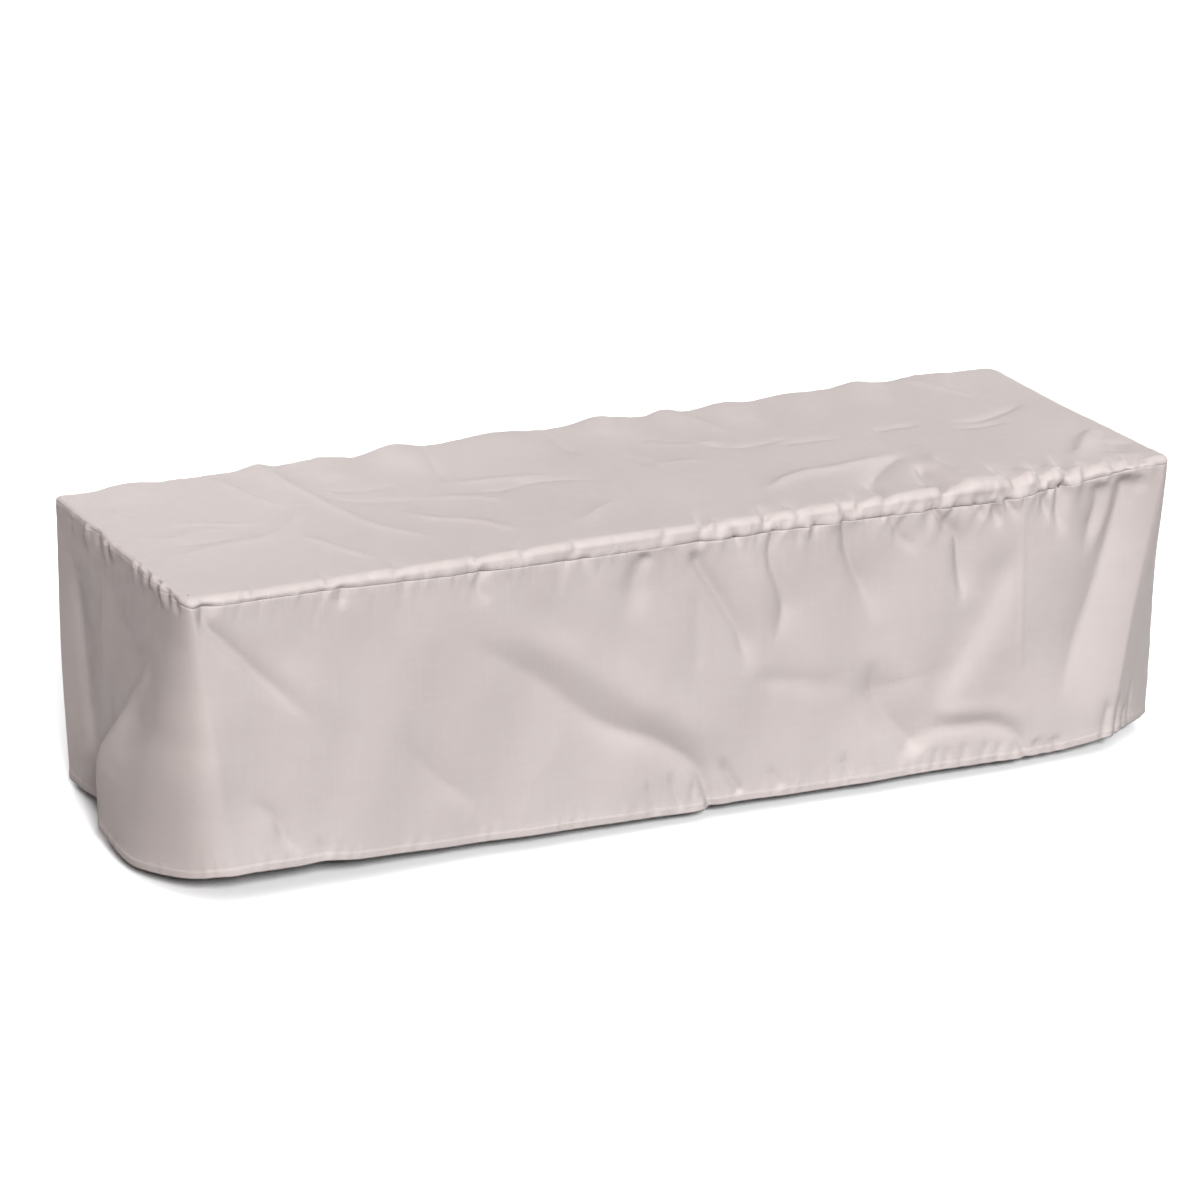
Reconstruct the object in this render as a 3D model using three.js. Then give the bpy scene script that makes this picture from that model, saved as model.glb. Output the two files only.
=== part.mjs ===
// A fitted cover for a lounge chair, as it hangs over its chair. Millimetres, +Z up. X runs along the
// cover, and -Y is its front. The origin is on the underside of the top, in its middle, where the chair
// carries it.
//
// Two pieces of cloth: a top panel that turns down over the edge to a seam, and a skirt from the seam to
// the hem. A place on the sides is given by its station, the distance round the edge from the middle of
// the front, and by its depth below the top. Folds lie across a side and up from the top's edge: below
// the edge that height is negative, and over the top it is the distance in from the edge.

import * as THREE from "three";

// Driving sizes.
const LENGTH = 2060;
const WIDTH = 700;
const DROP = 570;
const CLOTH = 2;
const SEAM_GAP = 0.34;

// The tables below were measured on a cover of these sizes, and stretch with the driving ones.
const MEASURED = { length: 2060, width: 700, drop: 570 };

const HALF_L = LENGTH / 2;
const HALF_W = WIDTH / 2;
const ROUND = 2 * (LENGTH + WIDTH);
const STRETCH_L = LENGTH / MEASURED.length;
const STRETCH_W = WIDTH / MEASURED.width;
const STRETCH_D = DROP / MEASURED.drop;

// What changes round the edge: the seam's depth, the hem's depth, how far the hem swings out, and the run
// and drop of the quarter ellipse that turns the top down.
const EDGE = [
  { side: "front", across: -1010, seam: 18, hem: 541, flare: 5, run: 22, turn: 16 },
  { side: "front", across: -960, seam: 19, hem: 540, flare: 7, run: 46, turn: 26 },
  { side: "front", across: -910, seam: 19, hem: 538, flare: 9, run: 62, turn: 30 },
  { side: "front", across: -810, seam: 19, hem: 543, flare: 7, run: 67, turn: 31 },
  { side: "front", across: -770, seam: 20, hem: 540, flare: 6, run: 68, turn: 32 },
  { side: "front", across: -710, seam: 21, hem: 548, flare: 5, run: 68, turn: 32 },
  { side: "front", across: -610, seam: 25, hem: 554, flare: 3, run: 68, turn: 32 },
  { side: "front", across: -510, seam: 28, hem: 560, flare: 2, run: 68, turn: 32 },
  { side: "front", across: -410, seam: 30, hem: 562, flare: 3, run: 68, turn: 32 },
  { side: "front", across: -210, seam: 33, hem: 565, flare: 6, run: 69, turn: 32 },
  { side: "front", across: -10, seam: 33, hem: 571, flare: 8, run: 70, turn: 32 },
  { side: "front", across: 70, seam: 37, hem: 565, flare: 10, run: 70, turn: 32 },
  { side: "front", across: 190, seam: 36, hem: 568, flare: 14, run: 70, turn: 32 },
  { side: "front", across: 340, seam: 38, hem: 567, flare: 18, run: 70, turn: 32 },
  { side: "front", across: 520, seam: 41, hem: 566, flare: 24, run: 70, turn: 32 },
  { side: "front", across: 630, seam: 44, hem: 568, flare: 28, run: 70, turn: 32 },
  { side: "front", across: 690, seam: 42, hem: 570, flare: 30, run: 70, turn: 32 },
  { side: "front", across: 750, seam: 35, hem: 570, flare: 29, run: 70, turn: 32 },
  { side: "front", across: 790, seam: 32, hem: 570, flare: 27, run: 70, turn: 32 },
  { side: "front", across: 890, seam: 23, hem: 563, flare: 18, run: 64, turn: 32 },
  { side: "front", across: 950, seam: 16, hem: 561, flare: 12, run: 48, turn: 29 },
  { side: "front", across: 1005, seam: 17, hem: 560, flare: 8, run: 16, turn: 16 },
  { side: "right", across: -200, seam: 24, hem: 564, flare: 10, run: 22, turn: 20 },
  { side: "right", across: 0, seam: 27, hem: 561, flare: 12, run: 24, turn: 22 },
  { side: "right", across: 200, seam: 23, hem: 563, flare: 12, run: 24, turn: 22 },
  { side: "back", across: 1005, seam: 26, hem: 566, flare: 8, run: 28, turn: 20 },
  { side: "back", across: 760, seam: 31, hem: 561, flare: 12, run: 36, turn: 19 },
  { side: "back", across: 300, seam: 29, hem: 567, flare: 18, run: 36, turn: 18 },
  { side: "back", across: -150, seam: 33, hem: 565, flare: 14, run: 36, turn: 18 },
  { side: "back", across: -600, seam: 31, hem: 569, flare: 18, run: 36, turn: 18 },
  { side: "back", across: -960, seam: 28, hem: 571, flare: 8, run: 30, turn: 18 },
  { side: "back", across: -1010, seam: 16, hem: 571, flare: 2, run: 14, turn: 12 },
  { side: "left", across: 300, seam: 9, hem: 574, flare: -3, run: 10, turn: 10 },
  { side: "left", across: 150, seam: 8, hem: 556, flare: -4, run: 9, turn: 9 },
  { side: "left", across: 60, seam: 8, hem: 557, flare: -4, run: 9, turn: 9 },
  { side: "left", across: -20, seam: 9, hem: 562, flare: -3, run: 9, turn: 9 },
  { side: "left", across: -150, seam: 9, hem: 572, flare: 0, run: 10, turn: 10 },
  { side: "left", across: -290, seam: 12, hem: 553, flare: 3, run: 14, turn: 12 },
];

// How far each corner's rounding runs along the two sides, at the top and at the hem.
const CORNERS = [
  { endX: -1, endY: -1, topX: 30, hemX: 80, topY: 60, hemY: 230 },
  { endX: 1, endY: -1, topX: 20, hemX: 95, topY: 28, hemY: 76 },
  { endX: 1, endY: 1, topX: 36, hemX: 90, topY: 40, hemY: 80 },
  { endX: -1, endY: 1, topX: 18, hemX: 34, topY: 20, hemY: 32 },
];

// The left end swings out. Its crest drops from the front towards the middle of the hem, falls back
// steeply behind that line, and fades slowly in front of it.
const BILLOW = [
  { depth: 100, crest: -250, swing: 0, behind: 60 },
  { depth: 190, crest: -190, swing: 4, behind: 56 },
  { depth: 290, crest: -95, swing: 15, behind: 50 },
  { depth: 385, crest: 0, swing: 38, behind: 40 },
  { depth: 430, crest: 22, swing: 44, behind: 34 },
  { depth: 480, crest: 24, swing: 45, behind: 30 },
  { depth: 560, crest: 18, swing: 46, behind: 26 },
];
const BILLOW_SHELF = 90;
const BILLOW_FADE = 420;

// The main folds of the sides. Outwards is positive. Wide is the half width along the line, lean makes the left
// side of the line wider, and fade is the share of the length over which each end dies away. A fold with a
// crease comes to an edge of about that radius, and the others are rounded bells.
const FOLDS = [
  { side: "front", path: [[-991, -20], [-960, -84], [-860, -192], [-755, -290]], wide: [12, 22], high: -7,
    lean: 0.5, fade: [0, 0.5], crease: 3 },
  { side: "front", path: [[-890, -108], [-790, -212], [-700, -300]], wide: [20, 40], high: 4, fade: [0.3, 0.3] },
  { side: "front", path: [[-508, -92], [-410, -202], [-210, -362], [-90, -418], [-10, -480], [28, -575]],
    wide: [20, 42, 18], high: -12, lean: 0.3, fade: [0.2, 0] },
  { side: "front", path: [[-430, -120], [-290, -215], [-140, -320], [60, -490]], wide: [30, 46, 34], high: 8,
    fade: [0.3, 0.3] },
  { side: "front", path: [[-650, -290], [-540, -415], [-462, -488], [-446, -548]], wide: [34, 17], high: -8,
    fade: [0.4, 0.1] },
  { side: "front", path: [[-925, -388], [-866, -440], [-810, -524]], wide: [26, 14], high: -10, lean: 0.3,
    fade: [0.4, 0.15], crease: 4 },
  { side: "front", path: [[-18, -46], [52, -168], [106, -318]], wide: [14, 20], high: -9, lean: 0.4,
    fade: [0.1, 0.3], crease: 4 },
  { side: "front", path: [[156, -40], [150, -90], [176, -205], [152, -270]], wide: [14, 24], high: -7.5,
    lean: 0.4, fade: [0, 0.4], crease: 4 },
  { side: "front", path: [[306, -40], [340, -160], [388, -258]], wide: [14, 24], high: -9, lean: 0.4,
    fade: [0, 0.5], crease: 4 },
  { side: "front", path: [[518, -30], [552, -104], [558, -160], [570, -250]], wide: [14, 17], high: -9,
    lean: 0.4, fade: [0, 0.35], crease: 4 },
  { side: "front", path: [[688, -115], [630, -235], [550, -350], [488, -450]], wide: [26, 44, 28], high: -10,
    lean: 0.3, fade: [0.25, 0.25] },
  { side: "front", path: [[770, -120], [720, -250], [640, -390]], wide: [40, 60], high: 7, fade: [0.3, 0.3] },
  { side: "front", path: [[872, -30], [862, -95], [832, -190]], wide: [14, 20], high: -12, fade: [0, 0.5],
    crease: 4 },
  { side: "front", path: [[933, -20], [920, -85], [887, -190], [808, -400], [768, -508]], wide: [16, 42, 24],
    high: -27, lean: 0.05, fade: [0, 0.15], crease: 7 },
  { side: "front", path: [[985, -60], [962, -190], [930, -320], [850, -540]], wide: [26, 48], high: 10,
    fade: [0.3, 0.1] },
  { side: "front", path: [[376, -312], [372, -380], [398, -438], [470, -532]], wide: [24, 36, 16], high: -19,
    lean: 0.2, fade: [0.35, 0.15], crease: 6 },
  { side: "front", path: [[445, -330], [465, -400], [505, -450]], wide: [32, 26], high: 6, fade: [0.3, 0.3] },
  { side: "front", path: [[472, -482], [550, -484], [675, -514], [706, -576]], wide: [20, 14], high: -13,
    lean: 0.3, fade: [0.2, 0], crease: 5 },
  { side: "front", path: [[490, -450], [575, -456], [715, -520]], wide: [16, 20], high: 6, fade: [0.3, 0.3] },
  { side: "left", path: [[-205, -150], [-95, -285], [8, -400]], wide: [18, 22], high: 5, fade: [0.3, 0.4] },
  { side: "left", path: [[250, -60], [215, -260], [165, -480]], wide: [34, 44], high: -5, fade: [0.3, 0.1] },
  { side: "back", path: [[-860, -32], [-835, -160], [-790, -330], [-770, -500]], wide: [18, 34], high: -12,
    lean: 0.2, fade: [0, 0.2] },
  { side: "back", path: [[-800, -60], [-760, -250], [-700, -450]], wide: [26, 40], high: 7, fade: [0.3, 0.3] },
  { side: "back", path: [[-560, -90], [-430, -230], [-300, -340], [-220, -470], [-205, -560]],
    wide: [20, 40, 18], high: -11, lean: -0.2, fade: [0.3, 0] },
  { side: "back", path: [[-150, -34], [-140, -120], [-165, -240]], wide: [14, 22], high: -7, fade: [0, 0.5] },
  { side: "back", path: [[70, -34], [95, -140], [150, -260]], wide: [14, 22], high: -7.5, fade: [0, 0.5] },
  { side: "back", path: [[300, -300], [330, -400], [395, -470], [420, -560]], wide: [30, 18], high: -12,
    lean: 0.2, fade: [0.4, 0] },
  { side: "back", path: [[455, -34], [448, -130], [470, -230]], wide: [14, 20], high: -7.5, fade: [0, 0.5] },
  { side: "back", path: [[700, -32], [670, -180], [610, -330], [590, -480]], wide: [16, 38, 24], high: -13,
    lean: -0.2, fade: [0, 0.2] },
  { side: "back", path: [[760, -80], [725, -260], [680, -430]], wide: [26, 42], high: 7, fade: [0.3, 0.3] },
  { side: "back", path: [[905, -28], [915, -120], [890, -250]], wide: [14, 24], high: -8, fade: [0, 0.5] },
  { side: "right", path: [[-250, -28], [-240, -150], [-200, -320], [-190, -500]], wide: [16, 36], high: -11,
    lean: 0.2, fade: [0, 0.2] },
  { side: "right", path: [[-150, -120], [-120, -300], [-90, -500]], wide: [34, 44], high: 6, fade: [0.3, 0.3] },
  { side: "right", path: [[30, -30], [45, -120], [85, -230]], wide: [18, 24], high: -7.5, fade: [0, 0.5] },
  { side: "right", path: [[60, -330], [120, -430], [150, -545]], wide: [30, 24], high: -10, fade: [0.4, 0] },
  { side: "right", path: [[240, -28], [225, -150], [250, -300]], wide: [18, 26], high: -8, fade: [0, 0.5] },
];

// The wider gathers of the front edge, each from its far end on the top down to the seam.
const GATHERS = [
  { far: [40, 92], near: [0, -28], wide: 14, high: -6 },
  { far: [150, 58], near: [138, -30], wide: 14, high: -7 },
  { far: [358, 70], near: [332, -32], wide: 14, high: -7 },
  { far: [418, 108], near: [390, -32], wide: 13, high: -7 },
  { far: [546, 150], near: [518, -38], wide: 16, high: -10 },
  { far: [590, 90], near: [594, -36], wide: 34, high: 6 },
  { far: [674, 96], near: [680, -40], wide: 16, high: -9 },
  { far: [742, 72], near: [734, -34], wide: 14, high: -9 },
  { far: [816, 96], near: [790, -28], wide: 14, high: -8 },
  { far: [908, 48], near: [896, -20], wide: 13, high: -6 },
];

const GATHER_SPREAD = 1.3;
const GATHER_LEAN = 0.15;

// Where the back edge stands up over the chair's frame.
const SWELLS = [
  { across: -890, wide: 60, high: 10 },
  { across: -620, wide: 30, high: 10 },
  { across: -500, wide: 50, high: 7 },
  { across: -335, wide: 50, high: 14 },
  { across: -120, wide: 90, high: 11 },
  { across: 110, wide: 55, high: 14 },
  { across: 255, wide: 30, high: 10 },
  { across: 385, wide: 45, high: 11 },
  { across: 530, wide: 70, high: 8 },
  { across: 685, wide: 50, high: 11 },
  { across: 850, wide: 70, high: 7 },
];
const SWELL_REACH = 120;
const SWELL_START = -14;

// The main folds of the top, in x and y. Up is positive.
const TOP_FOLDS = [
  { path: [[-610, 125], [-558, -15], [-465, -185], [-330, -275]], wide: [14, 18], high: 5, fade: [0.25, 0.25] },
  { path: [[-715, -15], [-662, 45], [-610, 122]], wide: [14, 14], high: 4, fade: [0.25, 0.25] },
  { path: [[-582, 88], [-510, 46], [-405, 30]], wide: [18, 16], high: -4.6, fade: [0.25, 0.25] },
  { path: [[-702, -80], [-690, -140], [-606, -265]], wide: [14, 14], high: 4.6, fade: [0.25, 0.25] },
  { path: [[-510, 8], [-378, -92], [-225, -238]], wide: [14, 16], high: 4.6, fade: [0.25, 0.25] },
  { path: [[-335, 335], [-410, 225], [-488, 140]], wide: [24, 26], high: -6, fade: [0.25, 0.25] },
  { path: [[-435, 340], [-490, 240], [-530, 190]], wide: [26, 28], high: 4, fade: [0.25, 0.25] },
  { path: [[-950, 62], [-868, 34]], wide: [18, 18], high: -4, fade: [0.25, 0.25] },
  { path: [[-965, -88], [-842, -118], [-725, -100]], wide: [15, 15], high: 4, fade: [0.25, 0.25] },
  { path: [[-950, -150], [-790, -162]], wide: [22, 22], high: -3.4, fade: [0.25, 0.25] },
  { path: [[180, -208], [320, -155], [450, -122], [586, -96]], wide: [15, 20], high: 7, fade: [0.25, 0.25] },
  { path: [[570, -112], [495, -162], [422, -240], [380, -322]], wide: [17, 22], high: -9, lean: 0.2,
    fade: [0.25, 0.25] },
  { path: [[558, -182], [520, -268], [493, -330]], wide: [15, 17], high: -8, lean: 0.2, fade: [0.25, 0.25] },
  { path: [[992, -122], [920, -195], [852, -288]], wide: [16, 18], high: 6, lean: 0.2, fade: [0.25, 0.25] },
  { path: [[990, -215], [935, -285]], wide: [40, 36], high: -5, fade: [0.25, 0.25] },
  { path: [[108, 162], [190, 126], [285, 100]], wide: [16, 16], high: 3.2, fade: [0.25, 0.25] },
];

// The top lies level in a disc round its middle, and its folds rise over the next ring.
const LEVEL = { radius: 60, ring: 100 };

// Slow waves: over the top by x and y, and round the sides a whole number of times.
const TOP_WAVES = [
  { high: 1.8, alongX: 210, alongY: 150, start: 0.7 },
  { high: 1.2, alongX: 117, alongY: -260, start: 2.1 },
];
const SIDE_WAVES = [
  { high: 2.2, times: 9, down: 170, start: 0 },
  { high: 1.6, times: 17, down: -120, start: 0 },
];
const WAVE_START = 30;
const WAVE_RISE = 140;
const FLARE_POWER = 1.5;

// How closely the grids are spaced: columns along the two long sides and the two ends, in runs up to a
// stop.
const LONG_RUNS = [
  { stop: -1008, count: 1 },
  { stop: -985, count: 1 },
  { stop: -915, count: 3 },
  { stop: -710, count: 8 },
  { stop: 290, count: 28 },
  { stop: 710, count: 16 },
  { stop: 960, count: 12 },
  { stop: 1006, count: 2 },
  { stop: MEASURED.length / 2, count: 1 },
];
const END_RUNS = [
  { stop: -318, count: 1 },
  { stop: -280, count: 1 },
  { stop: -150, count: 3 },
  { stop: 90, count: 7 },
  { stop: 285, count: 4 },
  { stop: 322, count: 1 },
  { stop: MEASURED.width / 2, count: 1 },
];
const TURN_ROWS = 4;
const SKIRT_RUNS = [
  { stop: 0.06, count: 1 },
  { stop: 0.7, count: 6 },
  { stop: 1, count: 4 },
];

// Steps of a fold's smooth line between two of its points, and its reach in half widths.
const FOLD_STEPS = 5;
const FOLD_REACH = 3;
const CREASE_REACH = 5;
const FOLD_TENSION = 0.5;

// How the folds of the four sides are weighed over the flat part: by the distance from each edge to this
// power.
const BLEND_POWER = 4;
const BLEND_LEAST = 0.01;

// Brings a station into the half round on each side of the front's middle.
function wrapped(station) {
  const turned = (station + ROUND / 2) % ROUND;
  return (turned < 0 ? turned + ROUND : turned) - ROUND / 2;
}

// Turns a distance across a side into a station.
function stationOf(side, across) {
  if (side === "front") {
    return across * STRETCH_L;
  }
  if (side === "right") {
    return HALF_L + HALF_W + across * STRETCH_W;
  }
  if (side === "back") {
    return ROUND / 2 - across * STRETCH_L;
  }
  return -HALF_L - HALF_W - across * STRETCH_W;
}

// Rises smoothly from 0 to 1.
function smooth(value) {
  const t = Math.min(Math.max(value, 0), 1);
  return t * t * (3 - 2 * t);
}

// A straight-line value between the rows of a table, held beyond its ends.
function between(rows, key, where, name) {
  let k = 0;
  while (k < rows.length - 2 && rows[k + 1][key] < where) {
    k += 1;
  }
  const share = (where - rows[k][key]) / (rows[k + 1][key] - rows[k][key]);
  const held = Math.min(Math.max(share, 0), 1);
  return rows[k][name] + held * (rows[k + 1][name] - rows[k][name]);
}

// The edge table by station, with a row of the far side repeated at each end so that it comes round
// again.
const EDGE_ROUND = EDGE
  .map((row) => ({ ...row, station: wrapped(stationOf(row.side, row.across)) }))
  .sort((a, b) => a.station - b.station);
const EDGE_FIRST = EDGE_ROUND[0];
const EDGE_LAST = EDGE_ROUND[EDGE_ROUND.length - 1];
EDGE_ROUND.unshift({ ...EDGE_LAST, station: EDGE_LAST.station - ROUND });
EDGE_ROUND.push({ ...EDGE_FIRST, station: EDGE_FIRST.station + ROUND });

function edgeSize(station, name) {
  return between(EDGE_ROUND, "station", wrapped(station), name);
}

// The plan of the cover at a depth: a box with elliptical corners, and the outward direction there, which turns
// evenly round a corner.
function outline(station, depth) {
  const s = wrapped(station);
  const endX = s < 0 ? -1 : 1;
  const endY = Math.abs(s) <= ROUND / 4 ? -1 : 1;
  const past = (endY < 0 ? Math.abs(s) : ROUND / 2 - Math.abs(s)) - HALF_L;
  const corner = CORNERS.find((row) => row.endX === endX && row.endY === endY);
  const share = Math.min(depth / DROP, 1);
  const runX = corner.topX + share * (corner.hemX - corner.topX);
  const runY = corner.topY + share * (corner.hemY - corner.topY);
  if (past < -runX) {
    return { x: (HALF_L + past) * endX, y: HALF_W * endY, nx: 0, ny: endY };
  }
  if (past > runY) {
    return { x: HALF_L * endX, y: (HALF_W - past) * endY, nx: endX, ny: 0 };
  }
  const angle = ((past + runX) / (runX + runY)) * (Math.PI / 2);
  const sin = Math.sin(angle);
  const cos = Math.cos(angle);
  return {
    x: (HALF_L - runX * (1 - sin)) * endX,
    y: (HALF_W - runY * (1 - cos)) * endY,
    nx: sin * endX,
    ny: cos * endY,
  };
}

// The turned-down edge: how far in the cloth is, and its outward direction's share in plan and up.
function turnedEdge(station, depth) {
  const run = edgeSize(station, "run");
  const turn = edgeSize(station, "turn");
  const up = Math.max(1 - depth / turn, 0);
  const out = Math.sqrt(1 - up * up);
  const size = Math.hypot(turn * out, run * up);
  return { inset: run * (1 - out), out: (turn * out) / size, up: (run * up) / size };
}

// A fold with its smooth line worked out, in stations for a side and in x for the top.
function laidOut(fold) {
  const points = fold.path.map(([across, along]) => {
    const x = fold.side ? stationOf(fold.side, across) : across * STRETCH_L;
    const rise = along < 0 ? along * STRETCH_D : along;
    return new THREE.Vector3(x, fold.side ? rise : along * STRETCH_W, 0);
  });
  const curve = new THREE.CatmullRomCurve3(points, false, "catmullrom", FOLD_TENSION);
  const line = curve.getPoints((points.length - 1) * FOLD_STEPS);
  const gone = [0];
  for (let k = 1; k < line.length; k += 1) {
    gone.push(gone[k - 1] + line[k].distanceTo(line[k - 1]));
  }
  const middle = (Math.min(...line.map((p) => p.x)) + Math.max(...line.map((p) => p.x))) / 2;
  const lean = fold.lean ?? 0;
  const crease = fold.crease ?? 0;
  const reach = (crease > 0 ? CREASE_REACH : FOLD_REACH) * Math.max(...fold.wide) * (1 + Math.abs(lean));
  return { ...fold, lean, crease, line, gone, middle, reach };
}

function gatherFold(row) {
  return {
    side: "front",
    path: [row.far, row.near],
    wide: [row.wide * GATHER_SPREAD, row.wide],
    high: row.high,
    lean: GATHER_LEAN,
    fade: [0.5, 0],
  };
}

function swellFold(row) {
  return {
    side: "back",
    path: [[row.across, SWELL_REACH], [row.across, SWELL_START]],
    wide: [row.wide, row.wide],
    high: row.high,
    fade: [0.5, 0.3],
  };
}

const SIDE_LINES = [...FOLDS, ...GATHERS.map(gatherFold), ...SWELLS.map(swellFold)].map(laidOut);
const TOP_LINES = TOP_FOLDS.map(laidOut);

// A value spread evenly along a fold, from its list of one for each part.
function alongFold(values, share) {
  const place = share * (values.length - 1);
  const k = Math.min(Math.floor(place), values.length - 2);
  return values[k] + (place - k) * (values[k + 1] - values[k]);
}

// How far a fold moves a place outwards: a bell across its line that dies away at the ends.
function foldPush(fold, u, v) {
  const x = fold.side ? fold.middle + wrapped(u - fold.middle) : u;
  let nearest = Infinity;
  let side = 0;
  let share = 0;
  for (let k = 1; k < fold.line.length; k += 1) {
    const a = fold.line[k - 1];
    const stepX = fold.line[k].x - a.x;
    const stepY = fold.line[k].y - a.y;
    const size = Math.hypot(stepX, stepY);
    const t = Math.min(Math.max(((x - a.x) * stepX + (v - a.y) * stepY) / (size * size), 0), 1);
    const away = Math.hypot(x - a.x - t * stepX, v - a.y - t * stepY);
    if (away < nearest) {
      nearest = away;
      side = Math.sign(stepX * (v - a.y) - stepY * (x - a.x));
      share = (fold.gone[k - 1] + t * size) / fold.gone[fold.gone.length - 1];
    }
  }
  if (nearest > fold.reach) {
    return 0;
  }
  const [start, end] = fold.fade;
  const rise = start > 0 ? smooth(share / start) : 1;
  const fall = end > 0 ? smooth((1 - share) / end) : 1;
  const wide = alongFold(fold.wide, share) * (1 + fold.lean * side);
  const away = fold.crease > 0
    ? (Math.hypot(nearest, fold.crease) - fold.crease) / wide
    : (nearest / wide) ** 2;
  return fold.high * rise * fall * Math.exp(-away);
}

function sidePush(station, rise) {
  return SIDE_LINES.reduce((sum, fold) => sum + foldPush(fold, station, rise), 0);
}

function topPush(x, y) {
  const level = smooth((Math.hypot(x, y) - LEVEL.radius) / LEVEL.ring);
  const waves = TOP_WAVES.reduce(
    (sum, row) => sum + row.high * Math.sin(x / row.alongX + y / row.alongY + row.start), 0);
  const folds = TOP_LINES.reduce((sum, fold) => sum + foldPush(fold, x, y), 0);
  return (waves + folds) * level;
}

function billowPush(station, depth) {
  const crest = stationOf("left", between(BILLOW, "depth", depth, "crest"));
  const swing = between(BILLOW, "depth", depth, "swing");
  const ahead = wrapped(station - crest);
  if (ahead < 0) {
    return swing * Math.exp(-((ahead / between(BILLOW, "depth", depth, "behind")) ** 2));
  }
  return swing * (1 - smooth((ahead - BILLOW_SHELF) / BILLOW_FADE));
}

function wavePush(station, depth) {
  const lap = (2 * Math.PI * station) / ROUND;
  const waves = SIDE_WAVES.reduce(
    (sum, row) => sum + row.high * Math.sin(row.times * lap + depth / row.down + row.start), 0);
  return waves * smooth((depth - WAVE_START) / WAVE_RISE);
}

// A place on the outer face of the sides, from the flat part of the top down to the hem.
function sidePoint(station, depth) {
  const { inset, out, up } = turnedEdge(station, depth);
  const plan = outline(station, depth);
  const x = plan.x - plan.nx * inset;
  const y = plan.y - plan.ny * inset;
  const swing = edgeSize(station, "flare") * (depth / edgeSize(station, "hem")) ** FLARE_POWER;
  const push = sidePush(station, inset - depth)
    + wavePush(station, depth)
    + swing
    + billowPush(station, depth)
    + topPush(x, y) * (1 - smooth(depth / edgeSize(station, "seam")));
  return new THREE.Vector3(x + plan.nx * out * push, y + plan.ny * out * push, up * push - depth + CLOTH);
}

// The outward direction at the seam, the same for both pieces, so that their edges stay parallel.
function seamDirection(station) {
  const depth = edgeSize(station, "seam");
  const { out, up } = turnedEdge(station, depth);
  const plan = outline(station, depth);
  return new THREE.Vector3(plan.nx * out, plan.ny * out, up).normalize();
}

// Evenly spaced values up to each stop of a table, from a start.
function spaced(start, runs) {
  const values = [start];
  for (const run of runs) {
    const from = values[values.length - 1];
    for (let k = 1; k <= run.count; k += 1) {
      values.push(from + ((run.stop - from) * k) / run.count);
    }
  }
  return values;
}

// Places of the columns across a long side and an end. The corner columns belong to the long sides.
const LONG_ACROSS = spaced(-MEASURED.length / 2, LONG_RUNS);
const END_ACROSS = spaced(-MEASURED.width / 2, END_RUNS);
const NX = LONG_ACROSS.length;
const NY = END_ACROSS.length;

function stationsOf(across, side) {
  return across.map((value) => wrapped(stationOf(side, value)));
}

const FRONT = stationsOf(LONG_ACROSS, "front");
const BACK = stationsOf(LONG_ACROSS, "back");
const RIGHT = stationsOf(END_ACROSS.slice(1, -1), "right");
const LEFT = stationsOf(END_ACROSS.slice(1, -1), "left");
const STATIONS = [...FRONT, ...RIGHT, ...[...BACK].reverse(), ...[...LEFT].reverse()];
const COUNT = STATIONS.length;

// A closed sheet from outer points and faces: the inner face lies one thickness in, and rims join the
// two. A rim is a ring of points that ends the outer face below or above. Both kinds are split along the
// same diagonals, so that the two sides of the seam fit.
function sheet(points, faces, rims, directions) {
  const normals = points.map(() => new THREE.Vector3());
  for (const [a, b, c] of faces) {
    const across = points[b].clone().sub(points[a]);
    const face = across.cross(points[c].clone().sub(points[a]));
    normals[a].add(face);
    normals[b].add(face);
    normals[c].add(face);
  }
  const inner = points.map((point, k) => {
    const direction = directions.get(k) ?? normals[k].normalize();
    return point.clone().addScaledVector(direction, -CLOTH);
  });
  const count = points.length;
  const triangles = [...faces, ...faces.map(([a, b, c]) => [a + count, c + count, b + count])];
  for (const { ring, below } of rims) {
    ring.forEach((a, k) => {
      const b = ring[(k + 1) % ring.length];
      if (below) {
        triangles.push([b, a, a + count], [b, a + count, b + count]);
      } else {
        triangles.push([a, b, a + count], [b, b + count, a + count]);
      }
    });
  }
  const geometry = new THREE.BufferGeometry();
  const places = [...points, ...inner].flatMap((point) => point.toArray());
  geometry.setAttribute("position", new THREE.Float32BufferAttribute(places, 3));
  geometry.setIndex(triangles.flat());
  geometry.computeVertexNormals();
  return geometry;
}

// Splits each cell of a ring of rows by its shorter diagonal. Rows run down, and columns run
// anticlockwise seen from above.
function ringFaces(points, rows) {
  const faces = [];
  for (let r = 1; r < rows.length; r += 1) {
    for (let c = 0; c < COUNT; c += 1) {
      const next = (c + 1) % COUNT;
      const [a, b, d, e] = [rows[r][c], rows[r][next], rows[r - 1][next], rows[r - 1][c]];
      if (points[a].distanceTo(points[d]) < points[b].distanceTo(points[e])) {
        faces.push([a, b, d], [a, d, e]);
      } else {
        faces.push([a, b, e], [b, d, e]);
      }
    }
  }
  return faces;
}

// A ring of new points at the depths that a function gives for each station.
function addRing(points, depthOf) {
  return STATIONS.map((station) => {
    points.push(sidePoint(station, depthOf(station)));
    return points.length - 1;
  });
}

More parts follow.
